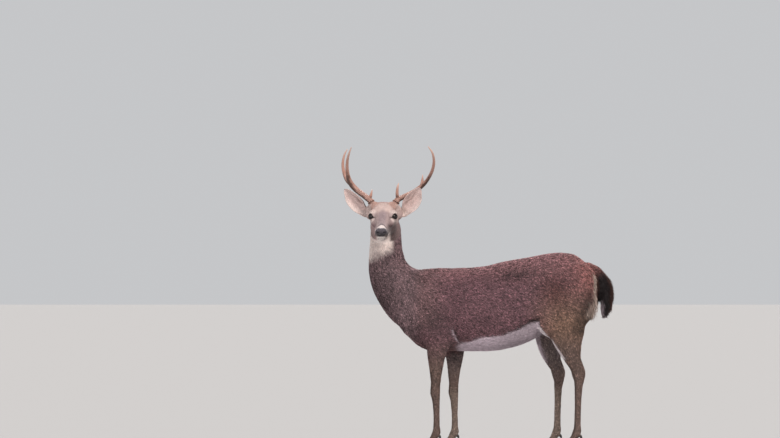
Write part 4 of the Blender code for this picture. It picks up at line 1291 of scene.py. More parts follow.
HEAD_FORMS = (  # in the frame of the head
    Swell((12, 50, 24), (22, 14, 8), 2.8),  # brow
    Swell((46, 36, -12), (12, 10, 10), -3.2),  # hollow before the eye
    Swell((22, 56, -22), (22, 12, 6), 1.2),  # below the eye
    Swell((55, 36, -34), (40, 12, 7), 1.8),  # cheekbone
    Swell((30, 46, -52), (20, 14, 14), -2),  # before the jaw muscle
    Swell((-40, 60, -58), (30, 16, 28), 2.2),  # jaw muscle
    Swell((95, 24, -40), (40, 8, 8), -1.4),  # beside the nasal bone
    Swell((160, 26, -70), (16, 12, 9), 1.8),  # upper lip
    Swell((155, 0, -101), (18, 16, 10), 1.6),  # chin
    Swell((-20, 0, 52), (40, 20, 20), -2),  # between the brows
    Swell((-60, 0, 68), (40, 17, 30), -4),  # between the stumps
    Swell((-55, 30, 62), (30, 9, 20), 4),  # beside the stumps
)
BODY_FORMS = (  # in the frame of the drawing
    Swell((195, 125, 862), (80, 70, 34), -11),  # hollow of the flank
    Swell((330, 80, 925), (32, 34, 24), 7.5),  # point of the hip
    Swell((430, 100, 870), (55, 60, 50), 5),  # croup
    Swell((497, 0, 958), (40, 70, 34), 15),  # before the head of the tail
    Swell((628, 0, 908), (40, 60, 50), -10),  # head of the tail
    Swell((545, 100, 612), (34, 70, 30), -12),  # where the thigh narrows
    Swell((420, 0, 965), (70, 70, 30), 5),  # top of the croup
    Swell((395, 120, 770), (50, 60, 60), 5),  # front of the thigh
    Swell((475, 120, 700), (16, 60, 110), -5.5),  # between the thigh muscles
    Swell((520, 110, 720), (22, 60, 80), 4),  # back of the thigh
    Swell((262, 120, 632), (55, 60, 12), -9),  # under the fold of the flank
    Swell((275, 120, 664), (50, 60, 20), 5.5),  # fold of the flank
    Swell((290, 120, 760), (40, 70, 60), -5),  # before the thigh
    Swell((-104, 125, 590), (12, 50, 60), -9),  # behind the elbow
    Swell((-165, 120, 610), (45, 50, 50), 6),  # triceps
    Swell((-215, 110, 760), (30, 60, 85), 5),  # shoulder blade
    Swell((-285, 100, 720), (26, 60, 80), -5),  # before the shoulder
    Swell((-145, 120, 720), (40, 70, 70), -4.5),  # behind the shoulder blade
    Swell((-325, 60, 845), (12, 60, 45), -5),  # crease where the neck turns
    Swell((-230, 90, 540), (30, 40, 30), 4),  # point of the shoulder
    Swell((30, 130, 660), (110, 60, 60), 4),  # barrel
)


@dataclass
class Skin:
    """All the flesh as one surface, inside the solids by the depth of the coat."""

    frame: HeadFrame
    nodes: dict[str, Object]
    voxel: float = 0.0043
    overlap: float = 0.00035
    coarse_triangles: int = 76000
    smoothing: int = 34  # passes that take out the facets of the solids
    lid_wall: float = 0.002
    shade_under_hair: float = 0.66  # painted shade: how light the skin is left under the hair, so gaps between tufts look shadowed
    face_shade_under_hair: float = 0.88
    ear_shade_under_hair: float = 0.92
    obj: Object | None = None

    @property
    def flesh(self) -> list[str]:
        """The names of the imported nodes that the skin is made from."""
        words = ("head", "neck", "trunk", "tail", "forearm", "cannon", "pastern", "thigh", "gaskin")
        return [name for name in sorted(self.nodes) if any(word in name for word in words)]

    @property
    def stood_for(self) -> list[str]:
        """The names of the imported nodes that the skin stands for."""
        return [*self.flesh, *(f"{side.value}_ear" for side in Side)]

    def build(self, anatomy: Anatomy, eyes: Sequence[Eye], ears: Sequence[Ear]) -> Object:
        """Fuses the flesh, shapes it, opens the eyes and adds the ears.

        Args:
            anatomy: Tells which part of the body a point belongs to.
            eyes: The two eyes.
            ears: The two ears.

        Returns:
            The skin.
        """
        shape = copied([self.nodes[name] for name in self.flesh], self.overlap)
        for eye in eyes:
            eye.lids(shape)
        for ear in ears:
            ear.base(shape)
        self.bear_claws(shape)
        self.obj = fused(piece_of("skin", shape), self.voxel)
        self.smooth_facets(anatomy)
        self.thin_out(anatomy)
        self.refine(eyes)
        self.carve(anatomy, eyes)
        for eye in eyes:
            eye.opened(self.obj)
        for ear in ears:
            combined(self.obj, ear.build(), "UNION")
        self.settle(eyes, ears)
        return self.obj

    def bear_claws(self, shape: Shape) -> None:
        """Adds the knobs of flesh behind the pasterns that the dewclaws grow from."""
        for name in sorted(name for name in self.nodes if "dewclaw" in name):
            low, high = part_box(name)
            middle = (low + high) / 2
            for ahead, above, radius in ((0.007, 0.006, 0.0098), (0.014, 0.009, 0.012)):
                knob = Matrix.Translation(middle + Vector((-ahead, 0, above)))
                bmesh.ops.create_uvsphere(shape, u_segments=20, v_segments=12, radius=radius, matrix=knob)

    def smooth_facets(self, anatomy: Anatomy) -> None:
        """Takes out the facets of the solids, more on the trunk than on the face and legs."""
        surface = Surface(self.obj.data)
        owner = anatomy.nearest(surface.points)
        broad = anatomy.mask(owner, "trunk", "neck", "thigh")
        share = np.where(broad, 1.0, np.where(anatomy.mask(owner, "head"), 0.55, 0.4))
        share = surface.softened(share, 12)
        surface.relax(share, self.smoothing)
        surface.store()

    def thin_out(self, anatomy: Anatomy) -> None:
        """Thins the mesh, least on the head and the lower legs."""
        surface = Surface(self.obj.data)
        owner = anatomy.nearest(surface.points)
        shins = anatomy.mask(owner, "cannon", "pastern")
        fine = np.maximum(1.0 * anatomy.mask(owner, "head"), 0.5 * shins)
        group = self.obj.vertex_groups.new(name="fine")
        for weight in (0.0, 0.5, 1.0):
            group.add(np.flatnonzero(fine == weight).tolist(), max(weight, 0.02), "REPLACE")
        thin = self.obj.modifiers.new("thin", "DECIMATE")
        thin.ratio = min(1.0, self.coarse_triangles / max(len(surface.triangles), 1))
        thin.vertex_group = group.name
        thin.vertex_group_factor = 0.02
        thin.invert_vertex_group = True
        thin.use_collapse_triangulate = True
        applied(self.obj)
        self.obj.vertex_groups.clear()

    def refine(self, eyes: Sequence[Eye]) -> None:
        """Divides the face, and the lids and the muzzle once more."""
        self.divide(lambda points: self.frame.read(points)[:, 0] > -0.04)
        self.divide(
            lambda points: np.any([np.abs(eye.outside(points)) < 0.008 for eye in eyes], axis=0)
            | (self.frame.read(points)[:, 0] > 0.13)
        )

    def divide(self, chosen: Callable[[Array], Array]) -> None:
        """Halves every edge whose middle is chosen, on the head."""
        shape = bmesh.new()
        shape.from_mesh(self.obj.data)
        middles = np.array([(edge.verts[0].co + edge.verts[1].co) / 2 for edge in shape.edges])
        near = np.linalg.norm(middles - np.array(self.frame.origin), axis=1) < 0.26
        wanted = near & chosen(middles)
        edges = [edge for edge, take in zip(shape.edges, wanted.tolist()) if take]
        bmesh.ops.subdivide_edges(shape, edges=edges, cuts=1, use_grid_fill=True, smooth=0.0)
        bmesh.ops.triangulate(shape, faces=[face for face in shape.faces if len(face.verts) > 3])
        shape.to_mesh(self.obj.data)
        shape.free()

    def carve(self, anatomy: Anatomy, eyes: Sequence[Eye]) -> None:
        """Moves the skin in by the depth of the coat, and shapes bones, muscles, lids and lips."""
        surface = Surface(self.obj.data)
        head = self.frame.read(surface.points)
        on_the_head = ease(np.linalg.norm(head, axis=1), 0.24, 0.2)
        surface.relax(on_the_head * ease(head[:, 0], -0.1, -0.05), 6)
        owner = anatomy.nearest(surface.points)
        rise = -anatomy.pelts(surface, owner)[:, 0]
        drawn = anatomy.drawn(surface.points)
        for form in BODY_FORMS:
            rise += form.on(drawn) * (1 - on_the_head)
        ribs = np.sin((drawn[:, 0] + 0.35 * (drawn[:, 2] - 0.7)) * 2 * pi / 0.043)
        cage = bell(drawn[:, 0], 0.04, 0.12) * bell(drawn[:, 2], 0.7, 0.09)
        rise += 0.0009 * ribs * cage * (1 - on_the_head)
        for form in HEAD_FORMS:
            rise += form.on(head) * on_the_head
        x, y, z = head.T
        rise -= 0.0024 * bell(z, Markings.lips(x), 0.0015) * ease(x, 0.1, 0.125) * on_the_head
        rise -= 0.0016 * bell(y, 0, 0.0012) * ease(z, -0.07, -0.076) * ease(x, 0.172, 0.18) * on_the_head
        rise -= 0.009 * ease(NosePad.reach(head), 1.02, 0.8) * ease(x, 0.165, 0.18)
        for eye in eyes:
            gap = eye.outside(surface.points)
            above = eye.read(surface.points)[1]
            rise -= 0.0012 * bell(gap, 0.0075, 0.0014) * ease(above, 0.0, 0.008)
            rise -= 0.0007 * bell(gap, 0.006, 0.0012) * ease(above, 0.0, -0.006)
        surface.points += surface.normals * rise[:, None]
        for eye in eyes:
            centre = np.array(eye.centre)
            gap = eye.outside(surface.points)
            offset = surface.points - centre
            distance = np.linalg.norm(offset, axis=1)
            least = eye.radius + self.lid_wall * ease(gap, 0.012, 0.004)
            short = (distance < least) & (gap < 0.013)
            surface.points[short] = centre + offset[short] / distance[short, None] * least[short, None]
            close = ease(gap, 0.014, 0.008) * (distance < 0.05)
            surface.relax(close * 0.6, 3)
        surface.store()

    def settle(self, eyes: Sequence[Eye], ears: Sequence[Ear]) -> None:
        """Softens the rims of the lids and the joins of the ears."""
        shape = bmesh.new()
        shape.from_mesh(self.obj.data)
        bmesh.ops.dissolve_degenerate(shape, edges=shape.edges, dist=1e-5)
        bmesh.ops.triangulate(shape, faces=[face for face in shape.faces if len(face.verts) > 3])
        shape.to_mesh(self.obj.data)
        shape.free()
        surface = Surface(self.obj.data)
        points = surface.points
        share = np.zeros(len(points))
        for eye in eyes:
            gap, distance = eye.outside(points), eye.read(points)[2]
            near = np.abs(distance - eye.radius) < 0.006
            share = np.maximum(share, 0.45 * bell(gap, 0.0, 0.001) * near)
        for ear in ears:
            root = np.linalg.norm(points - np.array(ear.matrix @ (ear.root + ear.up * 0.004)), axis=1)
            share = np.maximum(share, 0.8 * ease(root, 0.036, 0.024))
        surface.relax(share, 4)
        surface.store()

    def dressed(
        self, anatomy: Anatomy, markings: Markings, eyes: Sequence[Eye], finish: Finish
    ) -> Hide:
        """Stores the markings on the skin and returns what the tufts need to know about it."""
        surface = Surface(self.obj.data)
        points, normals = surface.points, surface.normals
        owner = anatomy.nearest(points)
        flow = anatomy.lie(points, normals, owner)
        for _ in range(24):
            flow = laid_on(surface.around(flow) * 0.7 + flow * 0.3, normals)
        colours = surface.softened(markings.colours(points, normals, owner), 1)
        bare = np.zeros(len(points))
        for eye in eyes:
            _, above, distance, _ = eye.read(points)
            near = distance < eye.radius + 0.01
            gap = eye.outside(points) - 0.001 * ease(above, 0.0, 0.004)
            colours = towards(colours, markings.rim, near * ease(gap, 0.0026, 0.0014))
            bare = np.maximum(bare, near * ease(gap, 0.0028, 0.0018))
        head = self.frame.read(points)
        bare = np.maximum(bare, ease(NosePad.reach(head), 1.1, 1.02))
        upright = anatomy.mask(owner, "neck", "leg", "tail", "ear").astype(float)
        facial = anatomy.mask(owner, "head").astype(float)
        # painted shade on the skin under the hair, less under pale hair
        on_face = self.face_shade_under_hair + (self.shade_under_hair - self.face_shade_under_hair) * anatomy.nape(head)
        under = np.where(facial > 0, on_face, self.shade_under_hair)
        under = np.where(anatomy.mask(owner, "ear"), self.ear_shade_under_hair, under)
        under = 1 - (1 - under) * (1 - 0.7 * ease(colours.mean(1), 0.2, 0.5))
        under = surface.softened(under, 24)[:, None]
        surface.keep("markings", colours * under)
        surface.keep("upright", surface.softened(upright, 20))
        surface.keep("facial", surface.softened(facial, 20))
        dress(self.obj, finish)
        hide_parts(*self.stood_for)
        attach(self.obj, BODY)
        return Hide(surface, normals, owner, flow, anatomy.pelts(surface, owner), bare)


# The tufts ---------------------------------------


@dataclass
class Hide:
    """What is known at each point of the finished skin."""

    surface: Surface
    normals: Array
    owner: Array
    flow: Array
    pelts: Array
    bare: Array


@dataclass(frozen=True)
class Sheet:
    """One strip of the flattened skin: the part of it round one axis."""

    origin: Triple
    axis: Triple
    zero: Triple  # the way from the axis to the middle of the strip
    reach: tuple[float, float]  # lowest and highest place along the axis
    strip: tuple[float, float] = (0.0, 1.0)

    def flat(self, points: Array, _: Array | None = None) -> Array:
        """The place of each point on the flattened skin, whichever way the skin faces there."""
        axis, zero = (unit(np.array([way]))[0] for way in (self.axis, self.zero))
        zero = unit((zero - axis * (zero @ axis))[None])[0]
        offset = points - np.array(self.origin)
        along = np.clip((offset @ axis - self.reach[0]) / (self.reach[1] - self.reach[0]), 0, 1)
        angle = np.arctan2(offset @ np.cross(axis, zero), offset @ zero) / (2 * pi) + 0.5
        low, high = self.strip
        return np.stack([0.004 + 0.992 * along, low + 0.004 + (high - low - 0.008) * angle], 1)


@dataclass(frozen=True)
class Growth:
    """One piece of the coat: the part of the skin it grows on, and how much of it there is."""

    name: str
    word: str  # what the names of the nodes that it grows on hold
    tufts: int
    flat: Callable[[Array, Array], Array]
    stray: float = 0.16  # how far the tufts turn from the lie of the coat, in radians
    ticking: float = 0.2  # how much lighter or darker one tuft is than the next
    mottle: float = 1.3  # the same for clumps of hair about as wide as a pencil
    settled: bool = True  # whether the tufts follow the curve of the skin
    at_nape: float = 0.0  # how much more mottled it is at the nape, where the head and neck meet
    within: Callable[[Array], Array] = lambda points: np.ones(len(points), bool)


class Coat:
    """The tufts, as slender solid blades that lie along the body."""

    blade = np.array(  # its triangles, by its seven points
        [[0, 1, 2], [0, 3, 4], [0, 4, 1], [1, 4, 5], [1, 5, 2], [2, 5, 3], [2, 3, 0]]
        + [[3, 6, 4], [4, 6, 5], [5, 6, 3]]
    )
    flat_blade = np.array([[-0.5, 0], [0.5, 0], [0, 0], [-0.4, 0.5], [0.4, 0.5], [0, 0.5], [0, 1]])
    shading = np.array([-0.36, -0.36, -0.26, -0.02, -0.02, 0.04, 0.3])  # painted shade at the roots and lighter tips
    patch: float = 0.003  # width of a tuft's patch on the flattened skin
    rooted: float = 0.0006  # how deep a tuft is set

    def __init__(self, hide: Hide, markings: Markings, finish: Finish) -> None:
        """Keeps the skin, its markings and the finish of the hair."""
        self.hide = hide
        self.markings = markings
        self.tree = BVHTree.FromPolygons(hide.surface.points.tolist(), hide.surface.triangles.tolist())
        self.finish = finish

    def grow(self, growth: Growth, anatomy: Anatomy, seed: int) -> Object:
        """Grows one piece of the coat.

        Args:
            growth: Where it grows, and how much.
            anatomy: Tells which part of the body a point belongs to.
            seed: Fixes the random draws.

        Returns:
            The piece.
        """
        draw = np.random.default_rng(seed)
        hide, surface = self.hide, self.hide.surface
        corners = surface.triangles
        points = surface.points[corners]
        middle = points.mean(1)
        area = np.linalg.norm(np.cross(points[:, 1] - points[:, 0], points[:, 2] - points[:, 0]), axis=1)
        here = anatomy.mask(hide.owner[corners[:, 0]], growth.word) & growth.within(middle)
        crowd = 1 / np.maximum(hide.pelts[corners[:, 0], 1] * hide.pelts[corners[:, 0], 2], 1e-7)
        weight = area * here * crowd * (hide.bare[corners].max(1) < 0.5)
        total = np.cumsum(weight)
        steps = (np.arange(growth.tufts) + draw.random(growth.tufts)) / growth.tufts * total[-1]
        chosen = np.minimum(np.searchsorted(total, steps), len(total) - 1)
        first, second = draw.random((2, growth.tufts))
        over = first + second > 1
        first[over], second[over] = 1 - first[over], 1 - second[over]
        shares = np.stack([1 - first - second, first, second], 1)[:, :, None]

        def read(values: Array) -> Array:
            """Values of the skin at the roots."""
            return (values[corners[chosen]] * shares).sum(1)

        roots, normals, flow = read(surface.points), unit(read(hide.normals)), read(hide.flow)
        flow = turned(laid_on(flow, normals), normals, draw.normal(0, growth.stray, growth.tufts))
        _, length, width, lift = read(hide.pelts).T
        length = length * draw.uniform(0.75, 1.2, growth.tufts)
        width = width * draw.uniform(0.7, 1.25, growth.tufts)
        lift = np.radians(lift * draw.uniform(0.5, 1.5, growth.tufts))
        shape = self.blades(roots, normals, flow, length, width, lift, growth.settled)
        ticks = growth.ticking * draw.normal(0, 1, growth.tufts)
        spots = (shape[:, row] for row in (2, 5, 6))  # root, middle and tip
        speckle = [wander(spot, 0.005, 31) + 0.5 * wander(spot, 0.0028, 32) for spot in spots]
        place = anatomy.frame.read(roots)
        nape = growth.at_nape * ease(place[:, 0], -0.02, -0.11) * ease(place[:, 2], -0.22, -0.06)
        tone = ticks[:, None] + (growth.mottle + nape)[:, None] * np.stack(speckle, 1)
        colours = self.markings.colours(roots, normals, hide.owner[corners[chosen, 0]])
        tone = 1 + tone * (1 - 0.75 * ease(colours.mean(1), 0.2, 0.5))[:, None]
        tone = np.clip(tone, 0.25, 2.4)
        return self.laid(growth.name, shape, colours, tone, growth.flat(roots, normals))

    def above(self, points: Array, heights: Array) -> Array:
        """The places at the given heights above the skin that are nearest to the points."""
        hits = [self.tree.find_nearest(point)[:2] for point in points.tolist()]
        near = np.array([tuple(hit[0]) for hit in hits])
        return near + np.array([tuple(hit[1]) for hit in hits]) * heights[:, None]

    def blades(
        self,
        roots: Array,
        normals: Array,
        flow: Array,
        length: Array,
        width: Array,
        lift: Array,
        settled: bool,
    ) -> Array:
        """The seven points of every blade: three at the root, three half way, and the tip."""
        side = np.cross(flow, normals) * (width / 2)[:, None]
        crest = normals * (width * 0.45)[:, None]
        rise, reach = np.sin(lift) * length * 0.5, np.cos(lift) * length * 0.5
        high = rise + np.sin(lift * 0.35) * length * 0.5
        half = roots + flow * reach[:, None]
        tip = half + flow * reach[:, None]
        if settled:
            half, tip = self.above(half, rise), self.above(tip, high)
        else:
            half, tip = half + normals * rise[:, None], tip + normals * high[:, None]
        base = roots - normals * self.rooted
        half = half - normals * self.rooted
        slim = side * 0.85
        rows = [base - side, base + side, base + crest, half - slim, half + slim, half + crest, tip]
        return np.stack(rows, 1)

    def laid(self, name: str, shape: Array, colours: Array, tone: Array, flat: Array) -> Object:
        """Joins the blades into one mesh with its colours and its place on the flattened skin."""
        count = len(shape)
        faces = (self.blade[None] + 7 * np.arange(count)[:, None, None]).reshape(-1)
        mesh = bpy.data.meshes.new(name)
        mesh.vertices.add(7 * count)
        mesh.vertices.foreach_set("co", shape.astype(np.float32).ravel())
        mesh.loops.add(len(faces))
        mesh.loops.foreach_set("vertex_index", faces.astype(np.int32))
        mesh.polygons.add(len(faces) // 3)
        mesh.polygons.foreach_set("loop_start", np.arange(0, len(faces), 3, dtype=np.int32))
        mesh.update(calc_edges=True)
        contrast = 1 - 0.6 * ease(colours.mean(1), 0.15, 0.45)
        shades = (1 + contrast[:, None] * self.shading) * tone[:, [0, 0, 0, 1, 1, 1, 2]]
        keep(mesh, "markings", (colours[:, None] * shades[:, :, None]).reshape(-1, 3))
        places = (flat[:, None] + self.flat_blade * self.patch).reshape(-1, 2)
        banded = 1 - ease(colours.mean(1), 0.13, 0.3)
        keep(mesh, "banded", np.repeat(banded, 7))
        layer = mesh.uv_layers.new(name="OFBake")
        layer.uv.foreach_set("vector", places[faces].astype(np.float32).ravel())
        obj = dress(piece(name, mesh), self.finish)
        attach(obj, BODY)
        return obj


def growths(frame: HeadFrame, shift: Array) -> list[Growth]:
    """Every piece of the coat.

    Args:
        frame: The frame of the head.
        shift: How far the buck was moved from where it was drawn.

    Returns:
        The pieces, from the trunk to the ears.
    """
    out, up = (0, -1, 0), (0, 0, 1)
    trunk = Sheet((shift[0], shift[1], 0.7), (1, 0, 0), out, (-0.42, 0.62))
    neck = Sheet((shift[0] - 0.43, shift[1], 0.9), (-0.2, 0, 1), out, (-0.28, 0.26))
    tail = Sheet((shift[0] + 0.615, shift[1], 0.66), up, (1, 0, 0), (-0.01, 0.27))

    def quarter(side: Side, ahead: bool) -> Callable[[Array], Array]:
        """Tells whether points are on one side of the trunk, ahead of its middle or behind it."""
        middle = 0.1 + shift[0]
        here = side.body_sign
        return lambda at: ((at[:, 1] - shift[1]) * here > 0) & ((at[:, 0] < middle) == ahead)

    def leg_sheet(points: Array, _: Array) -> Array:
        """Four legs unrolled about upright axes, each in its own strip."""
        x, y = points[:, 0] - shift[0], points[:, 1] - shift[1]
        flat = np.zeros((len(points), 2))
        for index, (ahead, sign) in enumerate(((-0.158, -1), (-0.158, 1), (0.44, -1), (0.44, 1))):
            here = ((x < 0.15) == (ahead < 0)) & (y * sign >= 0)
            middle = (ahead + shift[0], sign * 0.087 + shift[1], 0.0)
            sheet = Sheet(middle, up, (0, sign, 0), (0.0, 0.75), (index / 4, index / 4 + 0.25))
            flat[here] = sheet.flat(points)[here]
        return flat

    def head_sheet(points: Array, _: Array) -> Array:
        """The head, unrolled about the line from the nape to the nose."""
        at = frame.read(points) + np.array([0, 0, 0.035])
        return Sheet((0, 0, 0), (1, 0, 0), up, (-0.17, 0.2)).flat(at)

    def ear_sheet(points: Array, normals: Array) -> Array:
        """Both ears, inside and outside in a strip each."""
        flat = np.zeros((len(points), 2))
        left = frame.read(points)[:, 1] > 0
        for index, side in enumerate(Side):
            ear = Ear(frame, side)
            along, across = ear.read(points)
            inner = normals @ ear.opening > 0
            u = np.clip((along + 0.04) / 0.215, 0, 1) * 0.992 + 0.004
            v = np.clip(across / 0.1 + 0.5, 0, 1) * 0.23 + 0.01 + 0.5 * index + 0.25 * inner
            here = left == (side is Side.LEFT)
            flat[here] = np.stack([u, v], 1)[here]
        return flat

    quarters = {
        f"coat_{side.value}_{part}": quarter(side, part == "shoulder")
        for side in Side
        for part in ("shoulder", "flank")
    }
    return [
        *(Growth(name, "trunk", 15500, trunk.flat, within=within) for name, within in quarters.items()),
        Growth("coat_neck", "neck", 19500, neck.flat, 0.14, 0.14, 0.9, at_nape=-0.2),
        Growth("coat_forelegs", "foreleg", 13000, leg_sheet, 0.1, 0.14, 0.9),
        Growth("coat_hindlegs", "hindleg", 17500, leg_sheet, 0.1, 0.14, 1.2),
        Growth("coat_head", "head", 19800, head_sheet, 0.14, 0.1, 0.45, at_nape=0.4),
        Growth("coat_ears", "ear", 12000, ear_sheet, 0.2, 0.08, 0.2, False),
        Growth("coat_tail", "tail", 6200, tail.flat, 0.16, 0.16, 0.4, False),
    ]


# Antlers, nose and feet --------------------------


@dataclass(frozen=True)
class Rod:
    """One tapering length of antler: the points along it and its half-thickness at each, in mm."""

    points: tuple
    radii: tuple


@dataclass
class Antler:
    """One antler with its burr and its tines, in the frame of the head."""

    frame: HeadFrame
    side: Side
    rods: tuple[Rod, ...]  # the beam first
    burr: float = 0.019
    beads: int = 15
    thinnest: float = 0.0012  # half the thickness at the tips
    voxel: float = 0.0013

    def curve(self, rod: Rod, steps: int = 10) -> tuple[Array, Array]:
        """Points and half-thicknesses on a smooth curve through the rod's own."""
        rows = np.hstack([np.array(rod.points), np.array(rod.radii)[:, None]]) / 1000
        spans = range(len(rows) - 1)
        made = [along_curve(rows, span, step / steps) for span in spans for step in range(steps)]
        made = np.array([*made, rows[-1]])
        return made[:, :3], np.maximum(made[:, 3], self.thinnest)

    def tube(self, rod: Rod) -> Object:
        """The rod as a closed tube."""
        points, radii = self.curve(rod)
        line = bpy.data.curves.new("rod", "CURVE")
        line.dimensions = "3D"
        line.bevel_depth = 1.0
        line.bevel_resolution = 5
        line.use_fill_caps = True
        spline = line.splines.new("POLY")
        spline.points.add(len(points) - 1)
        for point, place, radius in zip(spline.points, points, radii):
            point.co = (*(self.frame.matrix @ self.side.mirrored(place)), 1)
            point.radius = radius
        drawn = linked("rod", line)
        mesh = evaluated(drawn)
        bpy.data.objects.remove(drawn)
        return piece("rod", mesh)

    def build(self, finish: Finish) -> Object:
        """Fuses the tubes and the burr, and cuts the grooves and pearls."""
        shape = bmesh.new()
        for rod in self.rods:
            tube = self.tube(rod)
            shape.from_mesh(tube.data)
            bpy.data.objects.remove(tube)
        points, _ = self.curve(self.rods[0])
        places = [self.frame.matrix @ self.side.mirrored(point) for point in points]
        seat = places[10]
        turn = (places[13] - seat).to_track_quat("Z", "Y").to_matrix().to_4x4()
        for index in range(self.beads):
            angle = 2 * pi * index / self.beads
            reach = self.burr * (0.8 + 0.06 * sin(index * 2.4))
            above = 0.0012 * sin(index * 1.7)
            bead = Vector((cos(angle) * reach, sin(angle) * reach, above))
            size = 0.0034 + 0.001 * sin(index * 3.1)
            place = Matrix.Translation(seat) @ turn @ Matrix.Translation(bead)
            bmesh.ops.create_icosphere(shape, subdivisions=2, radius=size, matrix=place)
        flat = Matrix.Diagonal((self.burr * 0.86, self.burr * 0.86, 0.0042, 1))
        ring = Matrix.Translation(seat) @ turn @ flat
        bmesh.ops.create_uvsphere(shape, u_segments=32, v_segments=12, radius=1, matrix=ring)
        name = f"{self.side.value}_antler"
        obj = fused(piece_of(name, shape), self.voxel)
        self.groove_and_shade(obj)
        dress(obj, finish)
        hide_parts(*(f"{name}_{part}" for part in ("beam", "brow_tine", "upper_tine")))
        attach(obj, BODY)
        return obj

    def groove_and_shade(self, obj: Object) -> None:
        """Cuts long grooves fading to the tips and pearls above the burr, and stores painted shade
        beneath.
        """
        surface = Surface(obj.data)
        surface.relax(np.full(len(surface.points), 0.8), 5)
        local = self.frame.read(surface.points) * np.array([1, self.side.head_sign, 1])
        best = np.full(len(local), np.inf)
        along, angle = np.zeros(len(local)), np.zeros(len(local))
        for index, rod in enumerate(self.rods):
            points, radii = self.curve(rod)
            travelled = np.concatenate([[0], np.cumsum(np.linalg.norm(np.diff(points, axis=0), axis=1))])
            squares = ((local[:, None] - points[None]) ** 2).sum(2)
            nearest = squares.argmin(1)
            gap = np.sqrt(squares[np.arange(len(local)), nearest]) / radii[nearest]
            way = unit(np.gradient(points, axis=0))[nearest]
            offset = local - points[nearest]
            side = unit(np.cross(way, np.array([[0.3, 0.1, 1.0]])))
            turn = np.arctan2(np.sum(offset * np.cross(way, side), 1), np.sum(offset * side, 1))
            share = travelled[nearest] / travelled[-1]
            if index:
                share = 0.35 + 0.65 * share
            better = gap < best
            best = np.where(better, gap, best)
            along, angle = np.where(better, share, along), np.where(better, turn, angle)
        warp = wander(surface.points, 0.012, 21)
        broad = np.sin(angle * 13 + 2.2 * warp)
        narrow = np.sin(angle * 23 + 4 * wander(surface.points, 0.02, 22))
        ridges = 0.5 + 0.25 * (broad + narrow)
        strength = ease(along, 0.85, 0.25)
        pearls = ease(wander(surface.points, 0.0042, 23), 0.15, 0.75) * ease(along, 0.36, 0.12)
        rise = 0.00055 * (ridges - 0.5) * strength + 0.0012 * pearls
        surface.points += surface.normals * rise[:, None]
        surface.store()
        # painted shade on the undersides of the lower antler, mixed into the ridge values
        shaded = ease(surface.normals[:, 2] + 0.3 * warp, 0.15, -0.55) * ease(along, 0.75, 0.35)
        ridge = ridges * strength + (1 - strength) * 0.75 + 0.4 * pearls
        surface.keep("ridge", ridge * (1 - 0.85 * shaded) - 0.25 * shaded)
        surface.keep("along", along)


ANTLER_RODS = {  # in millimetres, in the frame of the head, with Y away from its middle
    Side.LEFT: (
        Rod(
            (
                (-54, 47, 32), (-61, 61, 62), (-69, 71, 73), (-89, 94, 83), (-118, 139, 102),
                (-122, 180, 129), (-102, 212, 165), (-62, 238, 215), (-15, 249, 266), (30, 244, 314),
                (58, 224, 350),
            ),
            (13.5, 14, 13.5, 12, 11, 11, 9, 8, 6.8, 5, 1.8),
        ),
        Rod(((-68, 70, 74), (-62, 66, 100), (-52, 69, 134), (-48, 75, 157)), (10, 7.8, 5.8, 1.8)),
        Rod(((-121, 182, 132), (-126, 187, 162), (-127, 188, 188)), (8.2, 5.8, 1.6)),
    ),
    Side.RIGHT: (
        Rod(
            (
                (-54, 47, 32), (-61, 61, 62), (-69, 73, 74), (-84, 101, 93), (-100, 138, 120),
                (-98, 162, 149), (-85, 173, 182), (-55, 177, 225), (-18, 173, 272), (20, 162, 312),
                (45, 149, 345),
            ),
            (13.5, 14, 14.5, 14, 14, 13.5, 10.5, 8.5, 7, 4.8, 1.8),
        ),
        Rod(((-68, 70, 74), (-62, 62, 95), (-54, 55, 124)), (9.5, 7, 2)),
        Rod(
            (
                (-100, 155, 138), (-112, 181, 163), (-118, 196, 200),
                (-112, 201, 243), (-98, 193, 286), (-82, 177, 319),
            ),
            (11, 10, 8.6, 7, 5, 1.8),
        ),
    ),
}


